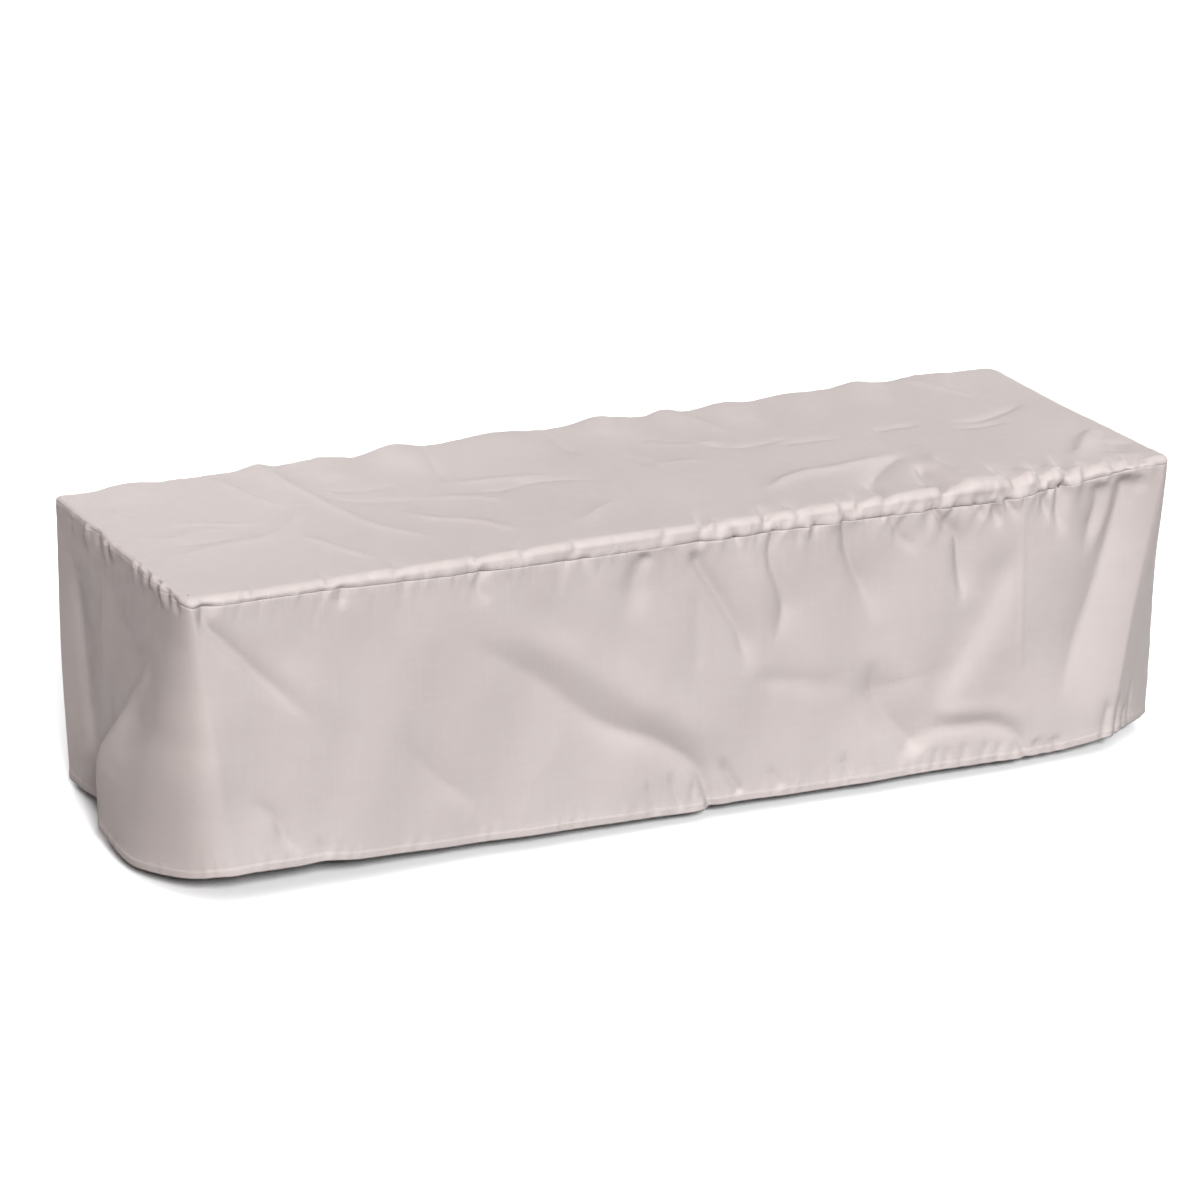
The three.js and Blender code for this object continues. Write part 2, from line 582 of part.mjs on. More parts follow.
// The flat part of the top is blended from its four edges. Its height is the sides' folds at the four
// nearest places of the edge, weighed by their closeness, plus the top's own folds.
function flatPoint(i, j, edges) {
  const u = i / (NX - 1);
  const v = j / (NY - 1);
  const { front, back, left, right } = edges;
  const blend = (name) => (1 - v) * front[i][name] + v * back[i][name]
    + (1 - u) * left[j][name] + u * right[j][name]
    - (1 - u) * (1 - v) * front[0][name] - u * (1 - v) * front[NX - 1][name]
    - (1 - u) * v * back[0][name] - u * v * back[NX - 1][name];
  const x = blend("x");
  const y = blend("y");
  const sides = [
    { station: front[i].station, away: y - front[i].y },
    { station: back[i].station, away: back[i].y - y },
    { station: left[j].station, away: x - left[j].x },
    { station: right[j].station, away: right[j].x - x },
  ];
  let push = 0;
  let weights = 0;
  for (const { station, away } of sides) {
    const weight = 1 / (Math.max(away, 0) + BLEND_LEAST) ** BLEND_POWER;
    push += weight * sidePush(station, edgeSize(station, "run") + away);
    weights += weight;
  }
  return new THREE.Vector3(x, y, push / weights + topPush(x, y) + CLOTH);
}

function edgePlace(station) {
  const plan = outline(station, 0);
  const { inset } = turnedEdge(station, 0);
  return { station, x: plan.x - plan.nx * inset, y: plan.y - plan.ny * inset };
}

function topPanel() {
  const edges = {
    front: FRONT.map(edgePlace),
    back: BACK.map(edgePlace),
    left: [FRONT[0], ...LEFT, BACK[0]].map(edgePlace),
    right: [FRONT[NX - 1], ...RIGHT, BACK[NX - 1]].map(edgePlace),
  };
  const points = [];
  for (let j = 0; j < NY; j += 1) {
    for (let i = 0; i < NX; i += 1) {
      points.push(flatPoint(i, j, edges));
    }
  }
  const flat = (i, j) => j * NX + i;
  const faces = [];
  for (let j = 1; j < NY; j += 1) {
    for (let i = 1; i < NX; i += 1) {
      faces.push([flat(i - 1, j - 1), flat(i, j - 1), flat(i, j)]);
      faces.push([flat(i - 1, j - 1), flat(i, j), flat(i - 1, j)]);
    }
  }
  const border = [];
  FRONT.forEach((_, i) => border.push(flat(i, 0)));
  RIGHT.forEach((_, j) => border.push(flat(NX - 1, j + 1)));
  BACK.forEach((_, i) => border.push(flat(NX - 1 - i, NY - 1)));
  LEFT.forEach((_, j) => border.push(flat(0, NY - 2 - j)));
  const rows = [border];
  for (let k = 1; k <= TURN_ROWS; k += 1) {
    rows.push(addRing(points, (station) => turnDepth(station, k / TURN_ROWS)));
  }
  const last = rows[TURN_ROWS];
  const directions = new Map(last.map((point, c) => [point, seamDirection(STATIONS[c])]));
  return sheet(points, [...faces, ...ringFaces(points, rows)], [{ ring: last, below: true }], directions);
}

// Depths down the turned edge, evenly spaced by its angle, ending just above the seam.
function turnDepth(station, share) {
  const turn = edgeSize(station, "turn");
  const seam = edgeSize(station, "seam") - SEAM_GAP / 2;
  const whole = Math.acos(Math.max(1 - seam / turn, 0));
  return turn * (1 - Math.cos(share * whole)) + Math.max(seam - turn, 0) * share ** 2;
}

function skirt() {
  const points = [];
  const rows = spaced(0, SKIRT_RUNS).map((share) => addRing(points, (station) => {
    const seam = edgeSize(station, "seam") + SEAM_GAP / 2;
    return seam + share * (edgeSize(station, "hem") - seam);
  }));
  const first = rows[0];
  const directions = new Map(first.map((point, c) => [point, seamDirection(STATIONS[c])]));
  const hem = rows[rows.length - 1];
  const rims = [{ ring: first, below: false }, { ring: hem, below: true }];
  return sheet(points, ringFaces(points, rows), rims, directions);
}

const CLOTH_LOOK = { color: 0xd4c9c7, roughness: 0.55, metalness: 0 };

function piece(name, geometry) {
  const mesh = new THREE.Mesh(geometry, new THREE.MeshStandardMaterial(CLOTH_LOOK));
  mesh.name = name;
  return mesh;
}

const cover = new THREE.Group();
cover.add(piece("top_panel", topPanel()));
cover.add(piece("skirt", skirt()));

export default cover;
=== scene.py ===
import logging
import math
from dataclasses import dataclass, field
from enum import Enum

import bpy
import numpy as np
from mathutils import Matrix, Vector

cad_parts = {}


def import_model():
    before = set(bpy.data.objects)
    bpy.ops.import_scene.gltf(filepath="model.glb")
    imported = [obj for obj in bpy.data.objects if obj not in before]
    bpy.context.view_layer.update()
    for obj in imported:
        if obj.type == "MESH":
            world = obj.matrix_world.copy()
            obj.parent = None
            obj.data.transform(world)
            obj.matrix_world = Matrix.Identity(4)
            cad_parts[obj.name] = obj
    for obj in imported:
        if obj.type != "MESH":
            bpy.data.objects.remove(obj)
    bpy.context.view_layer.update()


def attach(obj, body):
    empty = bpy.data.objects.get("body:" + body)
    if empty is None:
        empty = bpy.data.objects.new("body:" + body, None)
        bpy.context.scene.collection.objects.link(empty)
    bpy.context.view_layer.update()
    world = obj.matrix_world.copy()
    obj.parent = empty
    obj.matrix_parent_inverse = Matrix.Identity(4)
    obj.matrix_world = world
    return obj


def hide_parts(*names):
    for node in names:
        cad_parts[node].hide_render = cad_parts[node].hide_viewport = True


# A fitted cover for a lounge chair, as it hangs over its chair: a top panel that turns down to a seam, and a
# skirt from the seam to the hem. All sizes are in millimetres until a mesh is made. A place on the cover's
# sides is a station, its distance round the edge from the middle of the front, and a depth below the top.
# Every fold is placed in a table of its panel. On the top its points are x and y. On a side they are
# the distance across from the side's middle, and the height over the top's edge: less than 0 below it, and
# over the top the distance in from the edge.

MM = 0.001
LENGTH = 2060.0
WIDTH = 700.0
CLOTH = 2.0
HALF_L = LENGTH / 2
HALF_W = WIDTH / 2
ROUND = 2 * (LENGTH + WIDTH)
LAP = 2 * math.pi / ROUND
SEAM_GAP = 0.3
HEM_DEPTH = 560.0

# How many of its widths a fold reaches, and how far the flat part counts as being from the seam and the hem.
FOLD_REACH = 3.0
CREASE_REACH = 5.0
FAR_OVER_SEAM = -90.0
FAR_FROM_HEM = 500.0

log = logging.getLogger("cover")


class Side(Enum):
    """The four sides of the cover."""

    FRONT = "front"
    RIGHT = "right"
    BACK = "back"
    LEFT = "left"

    def station(self, across: np.ndarray) -> np.ndarray:
        """Turns a distance across this side into a station.

        Args:
            across: x on the front and back, y on the two ends.

        Returns:
            The distance round the edge from the middle of the front.
        """
        if self is Side.FRONT:
            return across
        if self is Side.RIGHT:
            return HALF_L + HALF_W + across
        if self is Side.BACK:
            return ROUND / 2 - across
        return -HALF_L - HALF_W - across


def wrapped(station: np.ndarray) -> np.ndarray:
    """Brings a station into the half round on each side of the front's middle."""
    return (np.asarray(station, float) + ROUND / 2) % ROUND - ROUND / 2


def smooth(t: np.ndarray) -> np.ndarray:
    """Rises smoothly from 0 to 1 as t does, 3t^2 - 2t^3."""
    t = np.clip(t, 0.0, 1.0)
    return t * t * (3 - 2 * t)


def bell(distance: np.ndarray, width: float | np.ndarray) -> np.ndarray:
    """A bell of height 1, exp(-(distance / width)^2)."""
    return np.exp(-((distance / width) ** 2))


def linked_mesh(name: str, places: np.ndarray, kinds: tuple[np.ndarray, ...]) -> bpy.types.Object:
    """Makes an object from its points and faces and puts it into the scene.

    Args:
        name: the object's name.
        places: the points in millimetres, one a row.
        kinds: for each number of corners, the faces' point numbers, one face a row.

    Returns:
        The object.
    """
    corners = np.concatenate([faces.ravel() for faces in kinds])
    sizes = np.concatenate([np.full(len(faces), faces.shape[1]) for faces in kinds])
    mesh = bpy.data.meshes.new(name)
    mesh.vertices.add(len(places))
    mesh.vertices.foreach_set("co", (places * MM).ravel())
    mesh.loops.add(len(corners))
    mesh.loops.foreach_set("vertex_index", corners)
    mesh.polygons.add(len(sizes))
    mesh.polygons.foreach_set("loop_start", np.cumsum(sizes) - sizes)
    mesh.update(calc_edges=True)
    piece = bpy.data.objects.new(name, mesh)
    bpy.context.scene.collection.objects.link(piece)
    return piece


def direction(azimuth: float, elevation: float) -> Vector:
    """The way from the cover to a camera or light: azimuth 0 is straight in front and -90 on the left."""
    turn, tilt = math.radians(azimuth), math.radians(elevation)
    return Vector((math.sin(turn) * math.cos(tilt), -math.cos(turn) * math.cos(tilt), math.sin(tilt)))


def placed(name: str, data: bpy.types.ID, where: Vector, back: Vector) -> bpy.types.Object:
    """Puts a camera or a light into the scene.

    Args:
        name: the object's name.
        data: the camera or light.
        where: its place in metres.
        back: the way from what it faces to it.

    Returns:
        The object.
    """
    holder = bpy.data.objects.new(name, data)
    holder.location = where
    holder.rotation_euler = back.to_track_quat("Z", "Y").to_euler()
    bpy.context.scene.collection.objects.link(holder)
    return holder


@dataclass(frozen=True)
class EdgeRow:
    """What the cover measures at one place round its edge.

    seam and hem are depths, flare is the hem's swing outwards, and run and turn are the width and height of
    the quarter ellipse that turns the top down.
    """

    side: Side
    across: float
    seam: float
    hem: float
    flare: float
    run: float
    turn: float


@dataclass(frozen=True)
class Edge:
    """The sizes that change round the edge, on straight lines between the rows, a little rounded."""

    rows: tuple[EdgeRow, ...]
    spread: float = 14.0

    def at(self, name: str, station: np.ndarray) -> np.ndarray:
        """One size at each station.

        Args:
            name: the size's field.
            station: distances round the edge.

        Returns:
            The mean of the straight-line values at five places across the spread.
        """
        rows = sorted((float(wrapped(row.side.station(row.across))), getattr(row, name))
                      for row in self.rows)
        where, size = np.array(rows).T
        steps = np.linspace(-self.spread, self.spread, 5)
        return np.mean([np.interp(station + step, where, size, period=ROUND) for step in steps], axis=0)


@dataclass(frozen=True)
class Fold:
    """One soft fold: a ridge where its height is above 0, a trough where it is below.

    Across the fold the cloth follows height * exp(-(d / width)^2), with d the distance from its line. With
    a crease it comes to an edge of about that radius instead, and follows height * exp(-(sqrt(d^2 +
    crease^2) - crease) / width). lean above 0 makes the left side, looking along the line, the wider one.
    Along the fold the height rises and falls smoothly over the shares in fade.
    """

    name: str
    line: tuple[tuple[float, float], ...]
    width: tuple[float, ...]
    height: float
    lean: float = 0.0
    fade: tuple[float, float] = (0.25, 0.25)
    crease: float = 0.0

    def curve(self, across: np.ndarray) -> np.ndarray:
        """A smooth line through the fold's points (Catmull-Rom), with six steps between each two.

        Args:
            across: the first coordinate of each point, once it is a station.

        Returns:
            The points of the smooth line, one a row.
        """
        points = np.column_stack([across, [p[1] for p in self.line]])
        ends = np.vstack([2 * points[0] - points[1], points, 2 * points[-1] - points[-2]])
        t = np.linspace(0, 1, 7)[:-1, None]
        runs = []
        for a, b, c, d in zip(ends[:-3], ends[1:-2], ends[2:-1], ends[3:]):
            runs.append(0.5 * (2 * b + (c - a) * t + (2 * a - 5 * b + 4 * c - d) * t**2
                               + (3 * b - a - 3 * c + d) * t**3))
        return np.vstack(runs + [points[-1:]])

    def push(self, u: np.ndarray, v: np.ndarray, curve: np.ndarray, around: bool) -> np.ndarray:
        """How far the fold moves each place outwards.

        Args:
            u: first coordinate of each place, on the curve's terms.
            v: second coordinate.
            curve: the fold's smooth line.
            around: whether u is a station, which comes round again.

        Returns:
            The outward move at each place.
        """
        moved = np.zeros(u.shape)
        widths_out = CREASE_REACH if self.crease > 0 else FOLD_REACH
        reach = widths_out * max(self.width) * (1 + abs(self.lean))
        middle = curve[:, 0].mean()
        du = wrapped(u - middle) if around else u - middle
        low, high = curve.min(axis=0) - reach, curve.max(axis=0) + reach
        near = (du > low[0] - middle) & (du < high[0] - middle) & (v > low[1]) & (v < high[1])
        if not near.any():
            return moved
        x, y = du[near] + middle, v[near]
        a, step = curve[:-1], np.diff(curve, axis=0)
        size = np.hypot(*step.T)
        gone = np.concatenate([[0], np.cumsum(size)])
        best = np.full(x.shape, np.inf)
        side = np.zeros(x.shape)
        along = np.zeros(x.shape)
        for k in range(len(a)):
            dx, dy = x - a[k, 0], y - a[k, 1]
            share = np.clip((dx * step[k, 0] + dy * step[k, 1]) / size[k] ** 2, 0, 1)
            off = np.hypot(dx - share * step[k, 0], dy - share * step[k, 1])
            closer = off < best
            best = np.where(closer, off, best)
            side = np.where(closer, np.sign(step[k, 0] * dy - step[k, 1] * dx), side)
            along = np.where(closer, (gone[k] + share * size[k]) / gone[-1], along)
        wide = np.interp(along, np.linspace(0, 1, len(self.width)), self.width) * (1 + self.lean * side)
        start, end = self.fade
        taper = smooth(along / start) if start > 0 else 1.0
        taper = taper * (smooth((1 - along) / end) if end > 0 else 1.0)
        if self.crease > 0:
            fall = (np.hypot(best, self.crease) - self.crease) / wide
        else:
            fall = (best / wide) ** 2
        moved[near] = self.height * taper * np.exp(-fall)
        return moved


def summed(folds: tuple[Fold, ...], side: Side | None, u: np.ndarray, v: np.ndarray) -> np.ndarray:
    """Adds up what all of a panel's folds do.

    Args:
        folds: the panel's folds.
        side: the side that they hang on, or None for the top, where u and v are x and y.
        u: stations or x.
        v: height over the edge, or y.

    Returns:
        The outward move at each place.
    """
    total = np.zeros(np.shape(u))
    for fold in folds:
        across = np.array([p[0] for p in fold.line], float)
        if side is not None:
            across = side.station(across)
        total += fold.push(u, v, fold.curve(across), side is not None)
    return total


EDGE = Edge(tuple(EdgeRow(side, *row) for side, rows in (
    (Side.FRONT, (
        (-1010, 18, 541, 5, 22, 16),
        (-960, 19, 540, 7, 18, 15),
        (-910, 19, 538, 9, 18, 15),
        (-810, 19, 543, 7, 18, 15),
        (-770, 20, 540, 6, 18, 15),
        (-710, 21, 548, 5, 18, 15),
        (-610, 25, 554, 3, 18, 15),
        (-510, 28, 560, 2, 18, 15),
        (-410, 30, 562, 3, 18, 15),
        (-210, 33, 565, 6, 18, 15),
        (-10, 33, 571, 8, 18, 15),
        (70, 37, 565, 10, 22, 17),
        (190, 36, 568, 14, 22, 17),
        (340, 38, 567, 18, 22, 17),
        (520, 41, 566, 24, 22, 17),
        (630, 44, 568, 28, 26, 19),
        (690, 42, 570, 30, 26, 19),
        (750, 35, 570, 29, 26, 19),
        (790, 32, 570, 27, 26, 19),
        (890, 23, 563, 18, 26, 19),
        (950, 16, 561, 12, 26, 19),
        (1005, 17, 560, 8, 16, 16),
    )),
    (Side.RIGHT, (
        (-200, 24, 564, 10, 22, 20),
        (0, 27, 561, 12, 24, 22),
        (200, 23, 563, 12, 24, 22),
    )),
    (Side.BACK, (
        (1005, 26, 566, 8, 28, 20),
        (760, 31, 561, 12, 36, 19),
        (300, 29, 567, 18, 36, 18),
        (-150, 33, 565, 14, 36, 18),
        (-600, 31, 569, 18, 36, 18),
        (-960, 28, 571, 8, 30, 18),
        (-1010, 16, 571, 2, 14, 12),
    )),
    (Side.LEFT, (
        (300, 9, 574, -3, 10, 10),
        (150, 8, 556, -4, 9, 9),
        (60, 8, 557, -4, 9, 9),
        (-20, 9, 562, -3, 9, 9),
        (-150, 9, 572, 0, 10, 10),
        (-290, 12, 553, 3, 14, 12),
    )),
) for row in rows))

FRONT_FOLDS = (
    Fold("corner curl", ((-991, -20), (-988, -52), (-960, -84), (-860, -192), (-755, -290)), (9, 19), -12.5,
         0.4, (0.0, 0.6), 3),
    Fold("curl shoulder", ((-890, -108), (-790, -212), (-690, -310)), (20, 44), 4.0, 0.0, (0.4, 0.6)),
    Fold("left nick", ((-722, -24), (-728, -62)), (7, 6), -7, 0.0, (0.0, 0.6), 2),
    Fold("left hook", ((-450, -30), (-452, -62), (-428, -96)), (7, 9), -6.5, 0.0, (0.0, 0.6), 2),
    Fold("long arc", ((-508, -92), (-472, -158), (-410, -202), (-310, -275), (-210, -362), (-90, -418),
                      (-10, -480), (14, -530), (28, -575)), (14, 28, 42, 36, 20, 10), -14.5, 0.3, (0.5, 0.0),
         4),
    Fold("arc crown", ((-430, -120), (-290, -215), (-140, -320), (-20, -400), (60, -490)), (30, 46, 34), 7.5),
    Fold("left sweep", ((-650, -290), (-540, -415), (-462, -488), (-446, -548)), (26, 22, 12), -6.5, 0.3,
         (0.6, 0.45), 3),
    Fold("corner dart", ((-925, -388), (-866, -440), (-848, -482), (-810, -524)), (17, 12, 8), -8.0, 0.4,
         (0.5, 0.35), 2),
    Fold("small dart", ((-788, -488), (-770, -512), (-765, -545)), (8, 7), -2.6, 0.0, (0.5, 0.45), 2),
    Fold("soft drop", ((-108, -38), (-132, -90), (-130, -175)), (10, 26, 24), -6.8, 0.0, (0.1, 0.5)),
    Fold("middle dart", ((-18, -46), (2, -88), (52, -168), (85, -232), (106, -318)), (9, 15, 20), -11.0, 0.4,
         (0.1, 0.3), 4),
    Fold("faint upright", ((-5, -120), (-6, -310)), (12, 14), -1.6),
    Fold("hanging fold", ((156, -40), (150, -90), (173, -160), (176, -205), (152, -270)), (9, 19, 24), -12.0,
         0.4, (0.0, 0.4), 4),
    Fold("leaning fold", ((306, -40), (315, -100), (340, -160), (388, -258)), (11, 19, 24), -12.6, 0.4,
         (0.0, 0.5), 4),
    Fold("short crease", ((408, -42), (422, -80), (472, -124)), (7, 10), -6.3, 0.3, (0.0, 0.5), 3),
    Fold("stepped fold", ((505, -44), (525, -75), (552, -104), (558, -160), (570, -250)), (9, 13, 17), -13.5,
         0.4, (0.0, 0.35), 4),
    Fold("nick one", ((593, -44), (612, -78)), (7, 7), -4.5, 0.0, (0.0, 0.6)),
    Fold("nick two", ((630, -46), (646, -100)), (8, 10), -7.8, 0.0, (0.0, 0.6)),
    Fold("nick three", ((662, -46), (692, -86)), (7, 7), -5.0, 0.0, (0.0, 0.6)),
    Fold("nick four", ((738, -38), (758, -108)), (9, 11), -8.4, 0.0, (0.0, 0.6)),
    Fold("nick five", ((780, -36), (776, -92), (792, -140)), (11, 14), -10.4, 0.0, (0.0, 0.6)),
    Fold("soft slope", ((688, -115), (630, -235), (550, -350), (488, -450)), (28, 50, 34), -8.0, -0.2),
    Fold("slope crown", ((770, -120), (720, -250), (640, -390)), (40, 60), 2.5),
    Fold("right fold", ((872, -30), (862, -95), (832, -190)), (14, 22), -12.0, 0.0, (0.15, 0.5), 4),
    Fold("right rib", ((900, -44), (888, -110), (858, -190)), (12, 14), 5.0, 0.0, (0.0, 0.5)),
    Fold("great fold", ((933, -20), (920, -85), (887, -190), (846, -300), (808, -400), (768, -508)),
         (18, 38, 56, 68, 70), -20.0, -0.16, (0.06, 0.35), 6),
    Fold("great rib", ((985, -60), (962, -190), (930, -320), (890, -440), (850, -540)), (30, 46, 46), 2.0,
         0.0, (0.3, 0.1)),
    Fold("corner nick", ((962, -26), (964, -76)), (8, 9), -3.5, 0.0, (0.4, 0.6)),
    Fold("lower hook", ((376, -312), (372, -380), (398, -438), (442, -488), (470, -532)), (24, 38, 30, 20),
         -15.5, 0.2, (0.35, 0.15), 6),
    Fold("hook crown", ((445, -330), (465, -400), (505, -450)), (32, 26), 2.5, 0.0, (0.5, 0.5)),
    Fold("arch", ((472, -482), (550, -484), (620, -490), (675, -514), (698, -548), (706, -576)), (20, 19, 12),
         -9.0, 0.3, (0.2, 0.0), 3),
    Fold("arch brow", ((490, -450), (575, -456), (658, -470), (715, -520)), (16, 20), 4.0),
    Fold("hem dart", ((40, -470), (68, -518), (88, -552)), (10, 8), -6.0, 0.0, (0.4, 0.1)),
    Fold("scallop one", ((510, -512), (498, -560)), (6, 8), -2.3, 0.2, (0.4, 0.0), 3),
    Fold("scallop two", ((534, -514), (522, -561)), (6, 8), -2.1, 0.2, (0.4, 0.0), 3),
    Fold("scallop three", ((572, -510), (560, -562)), (6, 8), -2.4, 0.2, (0.4, 0.0), 3),
    Fold("scallop four", ((620, -516), (606, -564)), (6, 8), -2.1, 0.2, (0.4, 0.0), 3),
    Fold("scallop five", ((650, -520), (638, -566)), (6, 8), -2.3, 0.2, (0.4, 0.0), 3),
    Fold("scallop six", ((682, -532), (670, -568)), (6, 8), -2.0, 0.2, (0.4, 0.0), 3),
    Fold("hem nick one", ((724, -534), (742, -570)), (7, 7), -5.0, 0.0, (0.4, 0.0), 3),
    Fold("hem nick two", ((768, -536), (772, -566)), (7, 7), -4.5, 0.0, (0.4, 0.0), 3),
    Fold("hem tuck one", ((-116, -490), (-92, -556)), (5, 5), -3.5, 0.0, (0.4, 0.0), 3),
    Fold("hem tuck two", ((-66, -478), (-44, -556)), (5, 5), -4.5, 0.0, (0.4, 0.0), 3),
    Fold("hem tuck three", ((-12, -500), (-18, -560)), (5, 5), -3.0, 0.0, (0.4, 0.0), 3),
    Fold("hem tuck four", ((146, -500), (176, -556)), (6, 5), -3.5, 0.0, (0.4, 0.2), 3),
    Fold("hem tuck five", ((302, -496), (322, -562)), (6, 5), -3.8, 0.0, (0.4, 0.0), 3),
    Fold("end tuck one", ((900, -478), (884, -560)), (8, 8), -6.5, 0.0, (0.4, 0.0), 3),
    Fold("end tuck two", ((934, -470), (924, -560)), (8, 8), -6.5, 0.0, (0.4, 0.0), 3),
    Fold("end tuck three", ((966, -500), (958, -560)), (8, 8), -5.5, 0.0, (0.4, 0.0), 3),
    Fold("end tuck four", ((992, -440), (988, -560)), (9, 8), -5.0, 0.0, (0.4, 0.0), 3),
    Fold("low drift", ((108, -322), (220, -345), (325, -375)), (14, 28), -3.0),
    Fold("pressed line", ((697, -70), (695, -430)), (3.5, 3.5), 1.4, 0.0, (0.3, 0.35)),
)

LEFT_FOLDS = (
    Fold("crest", ((-205, -150), (-95, -285), (8, -400)), (14, 20), 5.0, 0.0, (0.3, 0.4)),
    Fold("wedge one", ((150, 0), (160, -52)), (9, 8), 5.0, 0.0, (0.2, 0.6)),
    Fold("dent one", ((102, 8), (92, -42)), (14, 10), -6.0, 0.0, (0.2, 0.5)),
    Fold("wedge two", ((46, -2), (58, -56)), (9, 8), 5.0, 0.0, (0.2, 0.6)),
    Fold("wedge three", ((22, 2), (4, -38)), (14, 12), 4.0, 0.0, (0.2, 0.6)),
    Fold("dent two", ((-112, 10), (-120, -28)), (10, 8), -5.0, 0.0, (0.2, 0.5)),
    Fold("wedge four", ((-144, 4), (-153, -44)), (8, 8), 4.5, 0.0, (0.2, 0.5)),
    Fold("dent three", ((-170, 6), (-177, -32)), (8, 8), -5.0, 0.0, (0.2, 0.5)),
    Fold("wedge five", ((-196, 8), (-200, -34)), (8, 8), 4.0, 0.0, (0.2, 0.5)),
    Fold("dent four", ((-222, 8), (-230, -36)), (9, 9), -6.0, 0.0, (0.2, 0.5)),
    Fold("wedge six", ((-246, 5), (-251, -44)), (8, 9), 5.0, 0.0, (0.2, 0.5)),
    Fold("dent five", ((-270, 6), (-277, -40)), (9, 9), -6.0, 0.0, (0.2, 0.5)),
    Fold("dent six", ((-300, 2), (-314, -44)), (9, 9), -5.4, 0.0, (0.2, 0.5)),
    Fold("back lean", ((250, -60), (215, -260), (165, -480)), (30, 44), -5.0, 0.2, (0.3, 0.1)),
    Fold("pressed line", ((80, -45), (102, -330)), (3.5, 3.5), 1.4, 0.0, (0.3, 0.35)),
)

TOP_FOLDS = (
    Fold("star crease", ((-613, 317), (-605, 208), (-590, 105), (-571, 2), (-551, -83), (-519, -139),
                         (-453, -220)), (10, 11, 14), 5.4, 0.3, crease=2),
    Fold("star arm", ((-600, 98), (-639, 35), (-694, -15), (-754, -77), (-840, -94), (-924, -110),
                      (-990, -143)), (10, 15, 16), 5.0, -0.3, crease=2),
    Fold("lower crease", ((-710, -65), (-681, -144), (-654, -222), (-613, -289)), (10, 12), 5.0, 0.3,
         crease=2),
    Fold("back crease", ((-740, 324), (-714, 259), (-692, 145), (-653, 75)), (10, 12), 3.6, crease=2),
    Fold("east ray one", ((-581, 127), (-533, 69), (-473, 41), (-398, 23), (-352, 10)), (12, 12), -3.4,
         crease=2),
    Fold("east ray two", ((-561, 152), (-492, 119), (-404, 130)), (12, 12), -3.0, crease=2),
    Fold("west ray one", ((-697, 3), (-777, 16), (-845, 48), (-922, 68)), (9, 11), 3.4, crease=2),
    Fold("west ray two", ((-794, -26), (-850, 9), (-918, -16), (-990, 18)), (9, 11), 3.2, crease=2),
    Fold("west dip", ((-950, -40), (-880, -60), (-800, -50)), (14, 16), -2.6),
    Fold("west line", ((-981, 247), (-968, 173), (-948, 130)), (9, 10), 2.8, crease=2),
    Fold("back fall one", ((-270, 345), (-299, 204), (-317, 89)), (15, 22), -4.4, crease=3),
    Fold("back fall two", ((-516, 236), (-457, 279), (-388, 355)), (20, 26), -3.8),
    Fold("back fall three", ((-6, 342), (-24, 220), (-15, 124)), (14, 18), -4.0, crease=3),
    Fold("back fall four", ((153, 352), (101, 254), (54, 201)), (14, 18), -3.8, crease=3),
    Fold("back rise", ((268, 336), (291, 258), (313, 135)), (12, 15), 3.4),
    Fold("back swell", ((-435, 340), (-490, 240), (-530, 190)), (26, 28), 3.0),
    Fold("long line one", ((-312, 43), (-259, 9), (-179, 23), (-120, 13), (-50, -20), (26, -38)), (9, 10),
         -4.0, 0.3, crease=2),
    Fold("long line two", ((-447, 29), (-369, 18), (-309, -11), (-259, -60)), (10, 11), 3.6, crease=2),
    Fold("ray", ((-471, -28), (-438, -94), (-371, -151), (-315, -252)), (10, 14), 5.0, 0.3, crease=2),
    Fold("drift", ((-325, 88), (-240, 76), (-125, 44)), (13, 15), 3.2),
    Fold("pressed box one", ((63, 106), (71, 11)), (7, 7), -4.0, crease=2),
    Fold("pressed box two", ((38, 80), (47, -13)), (7, 7), 3.6, crease=2),
    Fold("pressed box three", ((88, 98), (96, 4)), (7, 7), 3.0, crease=2),
    Fold("wrinkle one", ((110, 147), (210, 128), (284, 56), (434, 78)), (9, 10), -3.6, crease=2),
    Fold("wrinkle two", ((56, 1), (130, 20), (203, 3)), (9, 10), 3.4, crease=2),
    Fold("step", ((-74, -147), (-145, -199), (-203, -255)), (12, 14), 4.0, crease=2),
    Fold("right line one", ((735, 30), (798, 19), (869, 43), (949, 92)), (9, 11), -5.6, 0.3, crease=2),
    Fold("right line two", ((727, -5), (776, -18), (861, -11)), (9, 10), -4.6, 0.3, crease=2),
    Fold("right line three", ((572, 31), (619, 46), (690, 41)), (9, 10), -4.6, 0.3, crease=2),
    Fold("short line", ((358, 39), (423, 36), (502, 27)), (9, 9), -4.2, 0.3, crease=2),
    Fold("far line", ((775, 333), (832, 246), (880, 154)), (12, 13), 4.0, crease=2),
    Fold("right crest", ((192, -221), (308, -154), (409, -148), (502, -129), (561, -112)), (14, 20), 8.0, 0.0,
         crease=3),
    Fold("long pucker", ((570, -112), (495, -162), (422, -240), (380, -322)), (16, 24), -10.0, 0.2, crease=3),
    Fold("second pucker", ((558, -182), (520, -268), (493, -330)), (12, 16), -9.0, 0.2, crease=3),
    Fold("peak", ((592, -136), (585, -220), (601, -310)), (14, 22), 5.0),
    Fold("corner rib", ((992, -122), (920, -195), (852, -288)), (14, 18), 6.0, 0.2),
    Fold("corner dip", ((990, -215), (935, -285)), (40, 36), -5.0),
    Fold("soft rib", ((108, 162), (190, 126), (285, 100)), (15, 16), 3.2),
)


